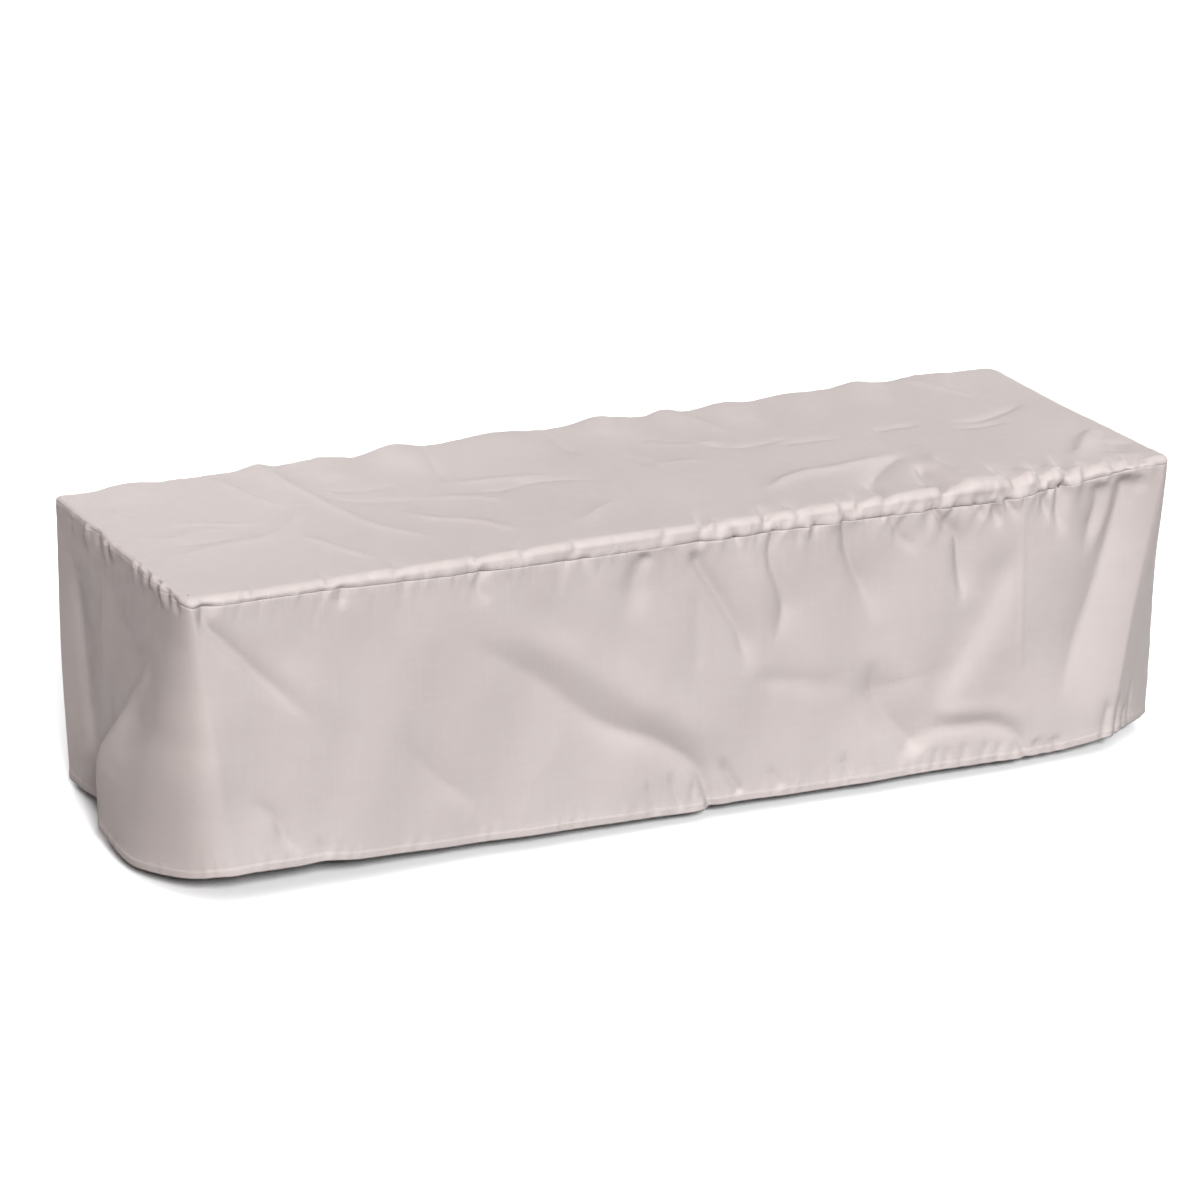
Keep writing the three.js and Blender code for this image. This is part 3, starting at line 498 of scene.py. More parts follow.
@dataclass(frozen=True)
class Pucker:
    """One gather at the top's front edge: it runs from inset over the top to just over the seam."""

    far: tuple[float, float]
    near: tuple[float, float]
    width: float
    height: float
    drawn_out: float = 0.25
    full_height: float = 0.85

    def fold(self) -> Fold:
        """The gather as a fold, drawn out and wider at its far end, which dies away at the seam."""
        across = self.far[0] + (self.far[0] - self.near[0]) * self.drawn_out
        far = (across, self.far[1] * (1 + self.drawn_out))
        return Fold("pucker", (far, self.near), (self.width * 1.1, self.width * 0.75),
                    self.height * self.full_height, lean=0.5, fade=(0.6, 0.25),
                    crease=2.0 if self.height < 0 else 0.0)


FRONT_PUCKERS = (
    Pucker((-888, 34), (-892, -14), 9, -3.5),
    Pucker((-746, 46), (-750, -20), 9, -4.6),
    Pucker((-602, 56), (-622, -22), 9, -4.6),
    Pucker((-434, 68), (-462, -24), 10, -5.8),
    Pucker((-350, 56), (-367, -24), 9, -5.5),
    Pucker((-250, 30), (-258, -28), 8, -5.5),
    Pucker((-70, 36), (-74, -28), 8, -5.5),
    Pucker((40, 92), (0, -28), 11, -9.3),
    Pucker((48, 44), (37, -30), 8, -7.2),
    Pucker((150, 58), (138, -30), 12, -10.9),
    Pucker((204, 58), (212, -28), 9, -7.2),
    Pucker((308, 36), (298, -30), 8, -5.8),
    Pucker((358, 70), (332, -32), 12, -10.9),
    Pucker((418, 108), (390, -32), 11, -10.9),
    Pucker((546, 150), (518, -38), 14, -15.9),
    Pucker((590, 90), (594, -36), 34, 8.7),
    Pucker((674, 96), (680, -40), 15, -14.5),
    Pucker((712, 60), (712, -36), 14, 7.2),
    Pucker((742, 72), (734, -34), 12, -14.5),
    Pucker((772, 60), (766, -30), 14, 7.2),
    Pucker((816, 96), (790, -28), 12, -13.0),
    Pucker((848, 48), (830, -26), 9, -10.9),
    Pucker((908, 48), (896, -20), 10, -10.2),
    Pucker((948, 44), (934, -14), 8, -8.7),
    Pucker((974, 44), (964, -12), 8, -7.8),
)


@dataclass(frozen=True)
class Swell:
    """A place on the back edge where the cloth stands up over the frame."""

    across: float
    width: float
    height: float
    reach: float = 190.0
    drop: float = 14.0

    def fold(self) -> Fold:
        """The swell as a fold that runs out over the edge, from reach inside it to drop below it."""
        line = ((self.across, self.reach), (self.across, -self.drop))
        return Fold("swell", line, (self.width, self.width), self.height, fade=(0.75, 0.2))


BACK_SWELLS = (
    Swell(-890, 60, 10), Swell(-620, 28, 10), Swell(-500, 50, 7), Swell(-335, 50, 14), Swell(-120, 90, 11),
    Swell(110, 55, 14), Swell(255, 28, 10), Swell(385, 45, 11), Swell(530, 70, 8), Swell(685, 50, 11),
    Swell(850, 70, 7),
)

BACK_FOLDS = (
    Fold("back drop one", ((-860, -32), (-835, -160), (-790, -330), (-770, -500)), (14, 24, 34, 30), -9.0,
         0.2, (0.0, 0.2)),
    Fold("back rib one", ((-800, -60), (-760, -250), (-700, -450)), (26, 36), 5.0),
    Fold("back sweep", ((-560, -90), (-430, -230), (-300, -340), (-220, -470), (-205, -560)),
         (14, 34, 30, 14), -8.0, -0.2, (0.3, 0.0)),
    Fold("back drop two", ((-150, -34), (-140, -120), (-165, -240)), (9, 18, 20), -5.0, 0.0, (0.0, 0.5)),
    Fold("back drop three", ((70, -34), (95, -140), (150, -260)), (9, 16, 20), -5.5, 0.0, (0.0, 0.5)),
    Fold("back hook", ((300, -300), (330, -400), (395, -470), (420, -560)), (26, 30, 14), -8.0, 0.2,
         (0.4, 0.0)),
    Fold("back drop four", ((455, -34), (448, -130), (470, -230)), (10, 18, 18), -5.5, 0.0, (0.0, 0.5)),
    Fold("back drop five", ((700, -32), (670, -180), (610, -330), (590, -480)), (12, 26, 34, 24), -9.0, -0.2,
         (0.0, 0.2)),
    Fold("back rib two", ((760, -80), (725, -260), (680, -430)), (26, 38), 5.0),
    Fold("back drop six", ((905, -28), (915, -120), (890, -250)), (9, 18, 22), -6.0, 0.0, (0.0, 0.5)),
    Fold("pressed line", ((-250, -80), (-252, -420)), (3.5, 3.5), 1.2, 0.0, (0.3, 0.35)),
)

RIGHT_FOLDS = (
    Fold("end drop one", ((-250, -28), (-240, -150), (-200, -320), (-190, -500)), (10, 24, 34, 30), -8.0, 0.2,
         (0.0, 0.2)),
    Fold("end rib", ((-150, -120), (-120, -300), (-90, -500)), (34, 44), 5.0),
    Fold("end drop two", ((30, -30), (45, -120), (85, -230)), (9, 18, 20), -5.5, 0.0, (0.0, 0.5)),
    Fold("end hook", ((60, -330), (120, -430), (150, -545)), (26, 26, 12), -7.0, 0.0, (0.4, 0.0)),
    Fold("end drop three", ((240, -28), (225, -150), (250, -300)), (9, 20, 24), -6.0, 0.0, (0.0, 0.5)),
)


@dataclass(frozen=True)
class Corner:
    """How far one corner's rounding runs along each side, at the top and at the hem.

    cut is how much of the rounding has become a straight slope across the corner at the hem.
    """

    along_x: tuple[float, float]
    along_y: tuple[float, float]
    cut: float = 0.0


CORNERS = {
    (-1, -1): Corner((20, 100), (60, 208)),
    (1, -1): Corner((12, 130), (24, 78), 0.85),
    (1, 1): Corner((36, 90), (40, 80)),
    (-1, 1): Corner((18, 34), (20, 32)),
}


@dataclass(frozen=True)
class Billow:
    """The left end's outward swing: its crest drops from the front towards the middle of the hem.

    Behind the crest the cloth falls back in a hand's breadth, and in front of it the swing fades slowly to
    the corner.
    """

    depths: tuple[float, ...] = (100, 190, 290, 385, 430, 480, 560)
    crest: tuple[float, ...] = (-250, -190, -95, 0, 22, 24, 18)
    swing: tuple[float, ...] = (0, 4, 15, 38, 44, 45, 46)
    back_run: tuple[float, ...] = (60, 56, 50, 40, 34, 30, 26)
    front_run: float = 420.0
    shelf: float = 90.0

    def push(self, station: np.ndarray, depth: np.ndarray) -> np.ndarray:
        """How far the billow moves each place outwards.

        Args:
            station: distances round the edge.
            depth: depths below the top.

        Returns:
            The outward move, a steep bell behind the crest and a long slope in front of it.
        """
        crest = Side.LEFT.station(np.interp(depth, self.depths, self.crest))
        swing = np.interp(depth, self.depths, self.swing)
        ahead = wrapped(station - crest)
        back = bell(ahead, np.interp(depth, self.depths, self.back_run))
        front = 1 - smooth((ahead - self.shelf) / self.front_run)
        return swing * np.where(ahead < 0, back, front)


@dataclass(frozen=True)
class GatherRun:
    """A stretch of the seam, how many small gathers it has and how deep they are."""

    side: Side
    start: float
    stop: float
    count: int
    height: float


GATHER_RUNS = (
    GatherRun(Side.FRONT, -990, -500, 34, 2.0),
    GatherRun(Side.FRONT, -500, 0, 44, 2.6),
    GatherRun(Side.FRONT, 0, 480, 60, 3.6),
    GatherRun(Side.FRONT, 480, 990, 70, 4.4),
    GatherRun(Side.RIGHT, -320, 320, 44, 1.6),
    GatherRun(Side.BACK, -990, 990, 150, 2.8),
    GatherRun(Side.LEFT, -320, 320, 34, 2.4),
)


@dataclass(frozen=True)
class Sewing:
    """What the sewing does to the cloth: the seam's groove and gathers, and the hem's double band.

    left_groove is the share of the groove that the left end keeps. The gather fields with two numbers are the
    ranges that each small gather is drawn from, its height as a share of its run's. ripple_laps counts the
    waves round the hem.
    """

    groove: float = 1.2
    groove_width: float = 3.2
    left_groove: float = 0.3
    left_ends: float = 20.0
    left_blend: float = 60.0
    allowance: float = 14.0
    allowance_height: float = 0.7
    gathers_down: float = 70.0
    gathers_over_hem: float = 60.0
    gather_width: tuple[float, float] = (5.0, 8.5)
    gather_height: tuple[float, float] = (0.35, 1.25)
    gather_reach: tuple[float, float] = (8.0, 30.0)
    gather_lean: tuple[float, float] = (-0.7, 0.4)
    band: float = 20.0
    band_edge: float = 4.0
    band_step: float = 1.1
    ripple: float = 0.9
    ripple_laps: tuple[int, int, int] = (173, 23, 37)
    ripple_up: float = 12.0
    ripple_reach: float = 26.0
    seam_stitch_up: float = 6.0
    stitch_up: float = 17.0
    stitch_dip: float = 1.4
    stitch_width: float = 2.2
    seed: int = 11

    def gathers(self) -> np.ndarray:
        """Draws the small gathers at random along each run of the seam.

        Returns:
            The station, width, height, reach and lean of each, one a row.
        """
        rng = np.random.default_rng(self.seed)
        rows = []
        for run in GATHER_RUNS:
            across = np.sort(rng.uniform(run.start, run.stop, run.count))
            width = rng.uniform(*self.gather_width, run.count)
            size = rng.uniform(*self.gather_height, run.count)
            height = run.height * size * rng.choice((-1, 1), run.count)
            reach = rng.uniform(*self.gather_reach, run.count)
            lean = rng.uniform(*self.gather_lean, run.count)
            rows.append(np.stack([run.side.station(across), width, height, reach, lean], axis=1))
        return np.concatenate(rows)

    def push(self, station: np.ndarray, below: np.ndarray, over_hem: np.ndarray) -> np.ndarray:
        """How far the sewing moves each place outwards.

        The groove falls to the seam like exp(-d / groove_width), with the allowance's low ridge over it,
        and is shallower on the left end. Each gather is a narrow trough or ridge across the seam. It comes
        to a blunt edge and dies away within a finger's breadth. The hem's band stands out by the second
        layer and ripples, and its stitches draw it in.

        Args:
            station: distances round the edge.
            below: distances below the seam, negative above it.
            over_hem: distances over the hem.

        Returns:
            The outward move.
        """
        place = -wrapped(station) - HALF_L
        on_left = (smooth((place - self.left_ends) / self.left_blend)
                   * smooth((WIDTH - self.left_ends - place) / self.left_blend))
        groove = self.groove * (1 - (1 - self.left_groove) * on_left)
        push = -groove * np.exp(-np.abs(below) / self.groove_width)
        push = push + self.allowance_height * bell(below + self.allowance * 0.6, self.allowance * 0.45)
        near = (np.abs(below) < self.gathers_down) & (over_hem > self.gathers_over_hem)
        push[near] += self.gathered(station[near], below[near])
        quick, bend, swell = (laps * LAP * station for laps in self.ripple_laps)
        ripple = np.sin(quick + 1.7 * np.sin(bend)) * (0.6 + 0.4 * np.sin(swell + 0.8))
        inside = 1 - smooth((over_hem - self.band) / self.band_edge + 0.5)
        at_hem = 1 - smooth(np.abs(over_hem - self.ripple_up) / self.ripple_reach)
        push = push + self.band_step * inside + self.ripple * ripple * at_hem
        return push - self.stitch_dip * bell(over_hem - self.stitch_up, self.stitch_width)

    def gathered(self, place: np.ndarray, down: np.ndarray) -> np.ndarray:
        """What all the small gathers do, each e^(1 - sqrt((aside / width)^2 + 1)^1.6 - |down| / reach).

        Args:
            place: stations near the seam.
            down: their distances below it.

        Returns:
            The outward move.
        """
        total = np.zeros(place.shape)
        for at, width, height, reach, lean in self.gathers():
            aside = wrapped(place - at) - lean * down
            close = np.abs(aside) < 4 * width
            total[close] += height * np.exp(1 - np.hypot(aside[close] / width, 1) ** 1.6
                                            - np.abs(down[close]) / reach)
        return total


@dataclass(frozen=True)
class CoverForm:
    """The outer face of the whole cover, before it is cut into panels.

    flare_rise is the power with which the flare grows towards the hem. cut_growth makes a corner's cut reach
    its full share before the hem.
    """

    billow: Billow = field(default_factory=Billow)
    sewing: Sewing = field(default_factory=Sewing)
    flare_rise: float = 1.5
    level_reach: float = 90.0
    still_depth: float = 30.0
    wave_growth: float = 140.0
    cut_growth: float = 1.4

    def outline(self, station: np.ndarray, depth: np.ndarray) -> tuple[np.ndarray, ...]:
        """The plan of the cover at a depth: a box with elliptical corners, or partly straight ones.

        Args:
            station: distances round the edge.
            depth: depths below the top.

        Returns:
            x, y and the outward direction's x and y, which turns evenly round a corner.
        """
        s = wrapped(station)
        a = np.abs(s)
        front = a <= ROUND / 4
        t = np.where(front, a, ROUND / 2 - a) - HALF_L
        side_x = np.where(s < 0, -1.0, 1.0)
        side_y = np.where(front, -1.0, 1.0)
        share = np.clip(depth / HEM_DEPTH, 0, 1)
        run_x = np.zeros(a.shape)
        run_y = np.zeros(a.shape)
        cut = np.zeros(a.shape)
        for (cx, cy), corner in CORNERS.items():
            here = (side_x == cx) & (side_y == cy)
            run_x = np.where(here, corner.along_x[0] + share * np.diff(corner.along_x), run_x)
            run_y = np.where(here, corner.along_y[0] + share * np.diff(corner.along_y), run_y)
            cut = np.where(here, corner.cut * smooth(share * self.cut_growth), cut)
        even = np.clip((t + run_x) / (run_x + run_y), 0, 1)
        turn = even * math.pi / 2
        back_x = (1 - cut) * (1 - np.sin(turn)) + cut * (1 - even)
        back_y = (1 - cut) * (1 - np.cos(turn)) + cut * even
        on_side, on_end = t < -run_x, t > run_y
        x = np.where(on_side, HALF_L + t, np.where(on_end, HALF_L, HALF_L - run_x * back_x))
        y = np.where(on_side, HALF_W, np.where(on_end, HALF_W - t, HALF_W - run_y * back_y))
        return x * side_x, y * side_y, np.sin(turn) * side_x, np.cos(turn) * side_y

    def edge(self, station: np.ndarray, depth: np.ndarray) -> tuple[np.ndarray, ...]:
        """The turned-down edge: a quarter of an ellipse, and upright below it.

        Args:
            station: distances round the edge.
            depth: depths below the top.

        Returns:
            How far in from the outline the cloth is, and its outward direction's share along the plan and up.
        """
        run, drop = EDGE.at("run", station), EDGE.at("turn", station)
        up = np.clip(1 - depth / drop, 0, 1)
        out = np.sqrt(1 - up**2)
        size = np.hypot(drop * out, run * up)
        return run * (1 - out), drop * out / size, run * up / size

    def side_push(self, station: np.ndarray, rise: np.ndarray) -> np.ndarray:
        """What the folds of all four sides do.

        Args:
            station: distances round the edge.
            rise: heights over the top's edge, less than 0 below it.

        Returns:
            The outward move.
        """
        puckers = tuple(p.fold() for p in FRONT_PUCKERS)
        swells = tuple(p.fold() for p in BACK_SWELLS)
        return (summed(FRONT_FOLDS + puckers, Side.FRONT, station, rise)
                + summed(LEFT_FOLDS, Side.LEFT, station, rise)
                + summed(BACK_FOLDS + swells, Side.BACK, station, rise)
                + summed(RIGHT_FOLDS, Side.RIGHT, station, rise))

    def top_push(self, x: np.ndarray, y: np.ndarray) -> np.ndarray:
        """What the top's folds and its slow waves do.

        Three waves of sine are added to the folds, and both fall to 0 at the middle like
        1 - exp(-(distance / level_reach)^2), because the frame holds the cover level there.

        Args:
            x: distances along the cover from its middle.
            y: distances towards the back.

        Returns:
            The upward move.
        """
        waves = (1.6 * np.sin(x / 210.0 + 0.7) * np.cos(y / 150.0)
                 + 1.1 * np.sin(x / 117.0 - y / 260.0 + 2.1)
                 + 0.8 * np.cos(x / 71.0 + y / 83.0))
        level = 1 - np.exp(-(x**2 + y**2) / self.level_reach**2)
        return (summed(TOP_FOLDS, None, x, y) + waves) * level

    def wave_push(self, station: np.ndarray, depth: np.ndarray) -> np.ndarray:
        """Three slow waves of sine down the sides, which grow smoothly from 0 below still_depth.

        Args:
            station: distances round the edge.
            depth: depths below the top.

        Returns:
            The outward move.
        """
        waves = (2.2 * np.sin(9 * LAP * station + depth / 170.0)
                 + 1.6 * np.sin(17 * LAP * station - depth / 120.0)
                 + 1.0 * np.cos(31 * LAP * station + depth / 90.0))
        return waves * smooth((depth - self.still_depth) / self.wave_growth)

    def sides(self, station: np.ndarray, depth: np.ndarray, extra: float = 0.0) -> np.ndarray:
        """The cloth from the top's flat part down to the hem.

        Args:
            station: distances round the edge.
            depth: depths below the top, from 0.
            extra: a further outward move, such as a thread's.

        Returns:
            The places, one x, y, z a row along the last axis.
        """
        inset, out, up = self.edge(station, depth)
        x, y, nx, ny = self.outline(station, depth)
        x, y = x - nx * inset, y - ny * inset
        seam, hem = EDGE.at("seam", station), EDGE.at("hem", station)
        push = self.side_push(station, inset - depth) + self.wave_push(station, depth) + extra
        push = push + self.sewing.push(station, depth - seam, hem - depth)
        push = push + EDGE.at("flare", station) * (depth / hem) ** self.flare_rise
        push = push + self.billow.push(station, depth)
        push = push + self.top_push(x, y) * (1 - smooth(depth / seam))
        return np.stack([x + nx * out * push, y + ny * out * push, up * push - depth + CLOTH], axis=-1)


def spaced(stops: tuple[float, ...], counts: tuple[int, ...]) -> np.ndarray:
    """Evenly spaced values between each two stops.

    Args:
        stops: the values that are kept.
        counts: how many steps lie between each two.

    Returns:
        All the values, the last stop among them.
    """
    runs = [np.linspace(a, b, n, endpoint=False) for a, b, n in zip(stops[:-1], stops[1:], counts)]
    return np.concatenate(runs + [np.array([stops[-1]])])


def thinned(from_edge: np.ndarray, full: float, at_edge: float, over: float = 15.0) -> np.ndarray:
    """The sheet's thickness, which falls to a thin edge.

    Args:
        from_edge: distances from the nearest edge.
        full: the thickness away from it.
        at_edge: the thickness at it.
        over: how far from the edge the thickness starts to fall.

    Returns:
        The thickness at each place.
    """
    return at_edge + (full - at_edge) * smooth(from_edge / over)


@dataclass
class Shell:
    """A closed sheet: a fine outer face, a coarser inner one, and the edges between them.

    A patch is a grid of point numbers with the cloth's own coordinates at each. The inner face has every
    second point of each patch, moved in by the sheet's thickness.
    """

    points: np.ndarray
    thickness: np.ndarray
    patches: list[tuple[np.ndarray, np.ndarray]]
    rims: list[np.ndarray]

    @staticmethod
    def quads(grid: np.ndarray) -> np.ndarray:
        """The corner numbers of each cell, anticlockwise where rows run down and columns to the right."""
        return np.stack([grid[1:, :-1], grid[1:, 1:], grid[:-1, 1:], grid[:-1, :-1]], axis=-1).reshape(-1, 4)

    def normals(self, quads: np.ndarray) -> np.ndarray:
        """The outward direction at each point, the mean of the cells around it by their area.

        Args:
            quads: the corner numbers of each cell.

        Returns:
            A vector of length 1 at each point.
        """
        a, b, c, d = (self.points[quads[:, k]] for k in range(4))
        face = np.cross(c - a, d - b)
        total = np.zeros(self.points.shape)
        for k in range(4):
            for axis in range(3):
                total[:, axis] += np.bincount(quads[:, k], face[:, axis], len(self.points))
        return total / np.maximum(np.linalg.norm(total, axis=1, keepdims=True), 1e-9)

    def sag(self, normals: np.ndarray) -> np.ndarray:
        """How much further in the coarser inner face has to lie, so that it cuts through no narrow valley.

        Along rows and along columns, it is how far the middle of two neighbours stands over the point between
        them.

        Args:
            normals: the outward direction at each point.

        Returns:
            The further move at each point.
        """
        total = np.zeros(len(self.points))
        for axis in (0, 1):
            deepest = np.zeros(len(self.points))
            for grid, _ in self.patches:
                g = np.moveaxis(grid, axis, 0)
                bridge = (self.points[g[:-2]] + self.points[g[2:]]) / 2 - self.points[g[1:-1]]
                over = np.maximum((bridge * normals[g[1:-1]]).sum(axis=-1), 0)
                np.maximum.at(deepest, g[:-2], over)
                np.maximum.at(deepest, g[2:], over)
            total += deepest
        return total

    def mesh(self, name: str, measures: dict[str, np.ndarray]) -> bpy.types.Object:
        """Makes the sheet's object: outer faces first, then the inner ones and the edges.

        Args:
            name: the piece's name.
            measures: millimetres at each outer point, which the finishes read, by name.

        Returns:
            The object, with a UV map in metres of cloth and material 1 on the inner face.
        """
        count = len(self.points)
        outer = np.concatenate([self.quads(grid) for grid, _ in self.patches])
        normals = self.normals(outer)
        inward = self.points - normals * (self.thickness + self.sag(normals))[:, None]
        inner = np.concatenate([self.quads(grid[::2, ::2])[:, ::-1] for grid, _ in self.patches]) + count
        edges = np.concatenate([self.edge_faces(rim, count) for rim in self.rims])
        corners = np.concatenate([outer.ravel(), inner.ravel(), edges.ravel()])
        used, again = np.unique(corners, return_inverse=True)
        squares = again[:outer.size + inner.size].reshape(-1, 4)
        triangles = again[outer.size + inner.size:].reshape(-1, 3)
        piece = linked_mesh(name, np.concatenate([self.points, inward])[used], (squares, triangles))
        mesh = piece.data
        slots = np.zeros(len(mesh.polygons), int)
        slots[len(outer):len(squares)] = 1
        mesh.polygons.foreach_set("material_index", slots)
        mesh.polygons.foreach_set("use_smooth", np.ones(len(slots), bool))
        layer = mesh.uv_layers.new(name="cloth")
        layer.data.foreach_set("uv", self.cloth_uv(len(corners)).ravel())
        for measure, values in measures.items():
            attribute = mesh.attributes.new(measure, "FLOAT", "POINT")
            attribute.data.foreach_set("value", np.concatenate([values, values])[used].astype(np.float32))
        mesh.update()
        return piece

    def cloth_uv(self, corners: int) -> np.ndarray:
        """The cloth's own coordinates in metres at each face corner, 0 on the thin edges.

        Args:
            corners: how many face corners the mesh has.

        Returns:
            u and v, one corner a row: the outer faces', then the inner ones' and the edges'.
        """
        starts = np.cumsum([0] + [grid.size for grid, _ in self.patches])
        own = [np.arange(grid.size).reshape(grid.shape) + start
               for (grid, _), start in zip(self.patches, starts)]
        faces = [self.quads(grid) for grid in own] + [self.quads(grid[::2, ::2])[:, ::-1] for grid in own]
        numbers = np.concatenate([each.ravel() for each in faces])
        cloth = np.concatenate([uv.reshape(-1, 2) for _, uv in self.patches])
        flat = np.zeros((corners, 2))
        flat[:numbers.size] = cloth[numbers] * MM
        return flat

    @staticmethod
    def edge_faces(rim: np.ndarray, count: int) -> np.ndarray:
        """Joins an outer edge to its inner one, which has every second point of it.

        Args:
            rim: the edge's point numbers, in the order that keeps the outer face on the left.
            count: how far on the inner points' numbers start.

        Returns:
            Three triangles for each two steps of the outer edge.
        """
        a, b, c = rim[:-2:2], rim[1:-1:2], rim[2::2]
        i, j = a + count, c + count
        return np.concatenate([np.stack([b, a, i], 1), np.stack([b, i, j], 1), np.stack([c, b, j], 1)])


@dataclass(frozen=True)
class Columns:
    """Where the grid's columns stand round the edge, the same for both panels, so that the seam fits."""

    long_side: int = 420
    short_side: int = 96

    def corner(self, side_x: int, side_y: int) -> float:
        """The station halfway round a corner.

        Args:
            side_x: 1 at the right end, -1 at the left.
            side_y: 1 at the back, -1 at the front.

        Returns:
            The distance round the edge from the middle of the front.
        """
        corner = CORNERS[side_x, side_y]
        at_front = HALF_L + (corner.along_y[0] - corner.along_x[0]) / 2
        return side_x * (at_front if side_y < 0 else ROUND / 2 - at_front)

    def stations(self) -> np.ndarray:
        """Every column's station, from the front left corner to the right and round.

        Returns:
            The stations, with the first one repeated a lap later at the end.
        """
        a, b = self.corner(-1, -1), self.corner(1, -1)
        c, d = self.corner(1, 1), self.corner(-1, 1) + ROUND
        return spaced((a, b, c, d, a + ROUND), (self.long_side, self.short_side) * 2)

    def sides(self, loop: np.ndarray) -> tuple[np.ndarray, ...]:
        """Splits what is known at every station into four sides, each in the direction in which x or y grows.

        Args:
            loop: a value or a row at each station.

        Returns:
            The values along the front, right, back and left.
        """
        right = self.long_side
        back = right + self.short_side
        left = back + self.long_side
        return loop[:right + 1], loop[right:back + 1], loop[back:left + 1][::-1], loop[left:][::-1]


@dataclass
class TopPanel:
    """The top: a flat grid between the four turned-down edges, and a ring of rows down to the seam."""

    form: CoverForm
    columns: Columns
    ring_rows: int = 20
    ring_crowding: float = 1.4
    thickness: float = 3.0
    edge_thickness: float = 1.2
    least_step: float = 0.8

    def build(self) -> bpy.types.Object:
        """Works out the panel's points and makes its mesh.

        The ring's rows crowd towards the seam by a power, ring_crowding.

        Returns:
            The panel's object.
        """
        stations = self.columns.stations()
        edges = self.columns.sides(self.form_edge(stations))
        flat = self.flat_places(edges)
        push = self.flat_push(flat, edges, self.columns.sides(stations))
        seam = EDGE.at("seam", stations) - SEAM_GAP / 2
        share = 1 - (1 - np.linspace(0, 1, self.ring_rows + 1)[1:, None]) ** self.ring_crowding
        depth = self.ring_depth(share, seam, EDGE.at("turn", stations))
        ring = self.form.sides(np.broadcast_to(stations, depth.shape), depth)[:, :-1].reshape(-1, 3)
        grid = np.arange(push.size).reshape(push.shape)[::-1]
        first = np.concatenate([grid[-1, :-1], grid[:0:-1, -1], grid[0, :0:-1], grid[:-1, 0]])
        rows = np.vstack([first, grid.size + np.arange(len(ring)).reshape(self.ring_rows, -1)])
        rows = np.hstack([rows, rows[:, :1]])
        down = np.vstack([np.zeros(len(stations)), depth])
        around = np.broadcast_to(stations, down.shape)
        above = (seam - depth)[:, :-1].ravel()
        thin = thinned(above, self.thickness, self.edge_thickness)
        shell = Shell(np.vstack([np.dstack([flat, push + CLOTH]).reshape(-1, 3), ring]),
                      np.concatenate([np.full(grid.size, self.thickness), thin]),
                      [(grid, flat[::-1]), (rows, np.dstack([around, -down]))], [rows[-1]])
        from_seam = np.concatenate([np.full(grid.size, FAR_OVER_SEAM), -above])
        from_hem = np.full(from_seam.shape, FAR_FROM_HEM)
        return shell.mesh("top_panel", {"from_seam": from_seam, "from_hem": from_hem})

    def flat_places(self, edges: tuple[np.ndarray, ...]) -> np.ndarray:
        """Where the flat part's points lie: a Coons patch, with each place blended from the four edges.

        It is the front's and the back's blend plus the left's and the right's, less the four corners'
        blend. Near the right end the columns stay least_step apart, so that the patch doesn't turn back on
        itself at the front corner.

        Args:
            edges: x and y along the front, right, back and left.

        Returns:
            x and y of each place.
        """
        front, right, back, left = edges
        u = np.linspace(0, 1, len(front))[:, None]
        v = np.linspace(0, 1, len(right))[:, None, None]
        left, right = left[:, None], right[:, None]
        flat = ((1 - v) * front + v * back + (1 - u) * left + u * right
                - (1 - v) * ((1 - u) * front[0] + u * front[-1]) - v * ((1 - u) * back[0] + u * back[-1]))
        columns_left = np.arange(len(front))[::-1]
        flat[..., 0] = np.minimum(flat[..., 0], right[..., 0] - self.least_step * columns_left)
        return flat

    def form_edge(self, stations: np.ndarray) -> np.ndarray:
        """Where the flat part ends.

        Args:
            stations: distances round the edge.

        Returns:
            x and y at each station.
        """
        zero = np.zeros(stations.shape)
        inset, _, _ = self.form.edge(stations, zero)
        x, y, nx, ny = self.form.outline(stations, zero)
        return np.stack([x - nx * inset, y - ny * inset], axis=-1)

    def flat_push(self, flat: np.ndarray, edges: tuple[np.ndarray, ...],
                  stations: tuple[np.ndarray, ...]) -> np.ndarray:
        """The height of each place on the flat part.

        The sides' push at the four nearest edge places is blended by the inverse fourth power of their
        distance, so that it meets the edge. A hundredth of a millimetre on each distance keeps it finite.

        Args:
            flat: x and y of each place.
            edges: x and y along the front, right, back and left.
            stations: the stations along them.

        Returns:
            The sides' push blended from the four edges, plus the top's folds.
        """
        front, right, back, left = edges
        away = (flat[..., 1] - front[None, :, 1], right[:, None, 0] - flat[..., 0],
                back[None, :, 1] - flat[..., 1], flat[..., 0] - left[:, None, 0])
        total, weight = 0.0, 0.0
        for k, gap in enumerate(away):
            along = stations[k][None, :] if k % 2 == 0 else stations[k][:, None]
            station = np.broadcast_to(along, gap.shape)
            share = 1 / (np.maximum(gap, 0) + 0.01) ** 4
            total = total + share * self.form.side_push(station, EDGE.at("run", station) + gap)
            weight = weight + share
        return total / weight + self.form.top_push(flat[..., 0], flat[..., 1])

    @staticmethod
    def ring_depth(t: np.ndarray, seam: np.ndarray, drop: np.ndarray) -> np.ndarray:
        """Depths of the ring's rows, evenly spaced along the turned-down edge's angle and then straight down.

        Args:
            t: the row's share of the way to the seam.
            seam: the seam's depth.
            drop: the turned-down edge's height.

        Returns:
            The depth at each row and station.
        """
        reach = np.arccos(np.clip(1 - seam / drop, 0, 1))
        curved = drop * (1 - np.cos(t * reach))
        straight = np.maximum(seam - drop, 0)
        return curved + straight * t**2


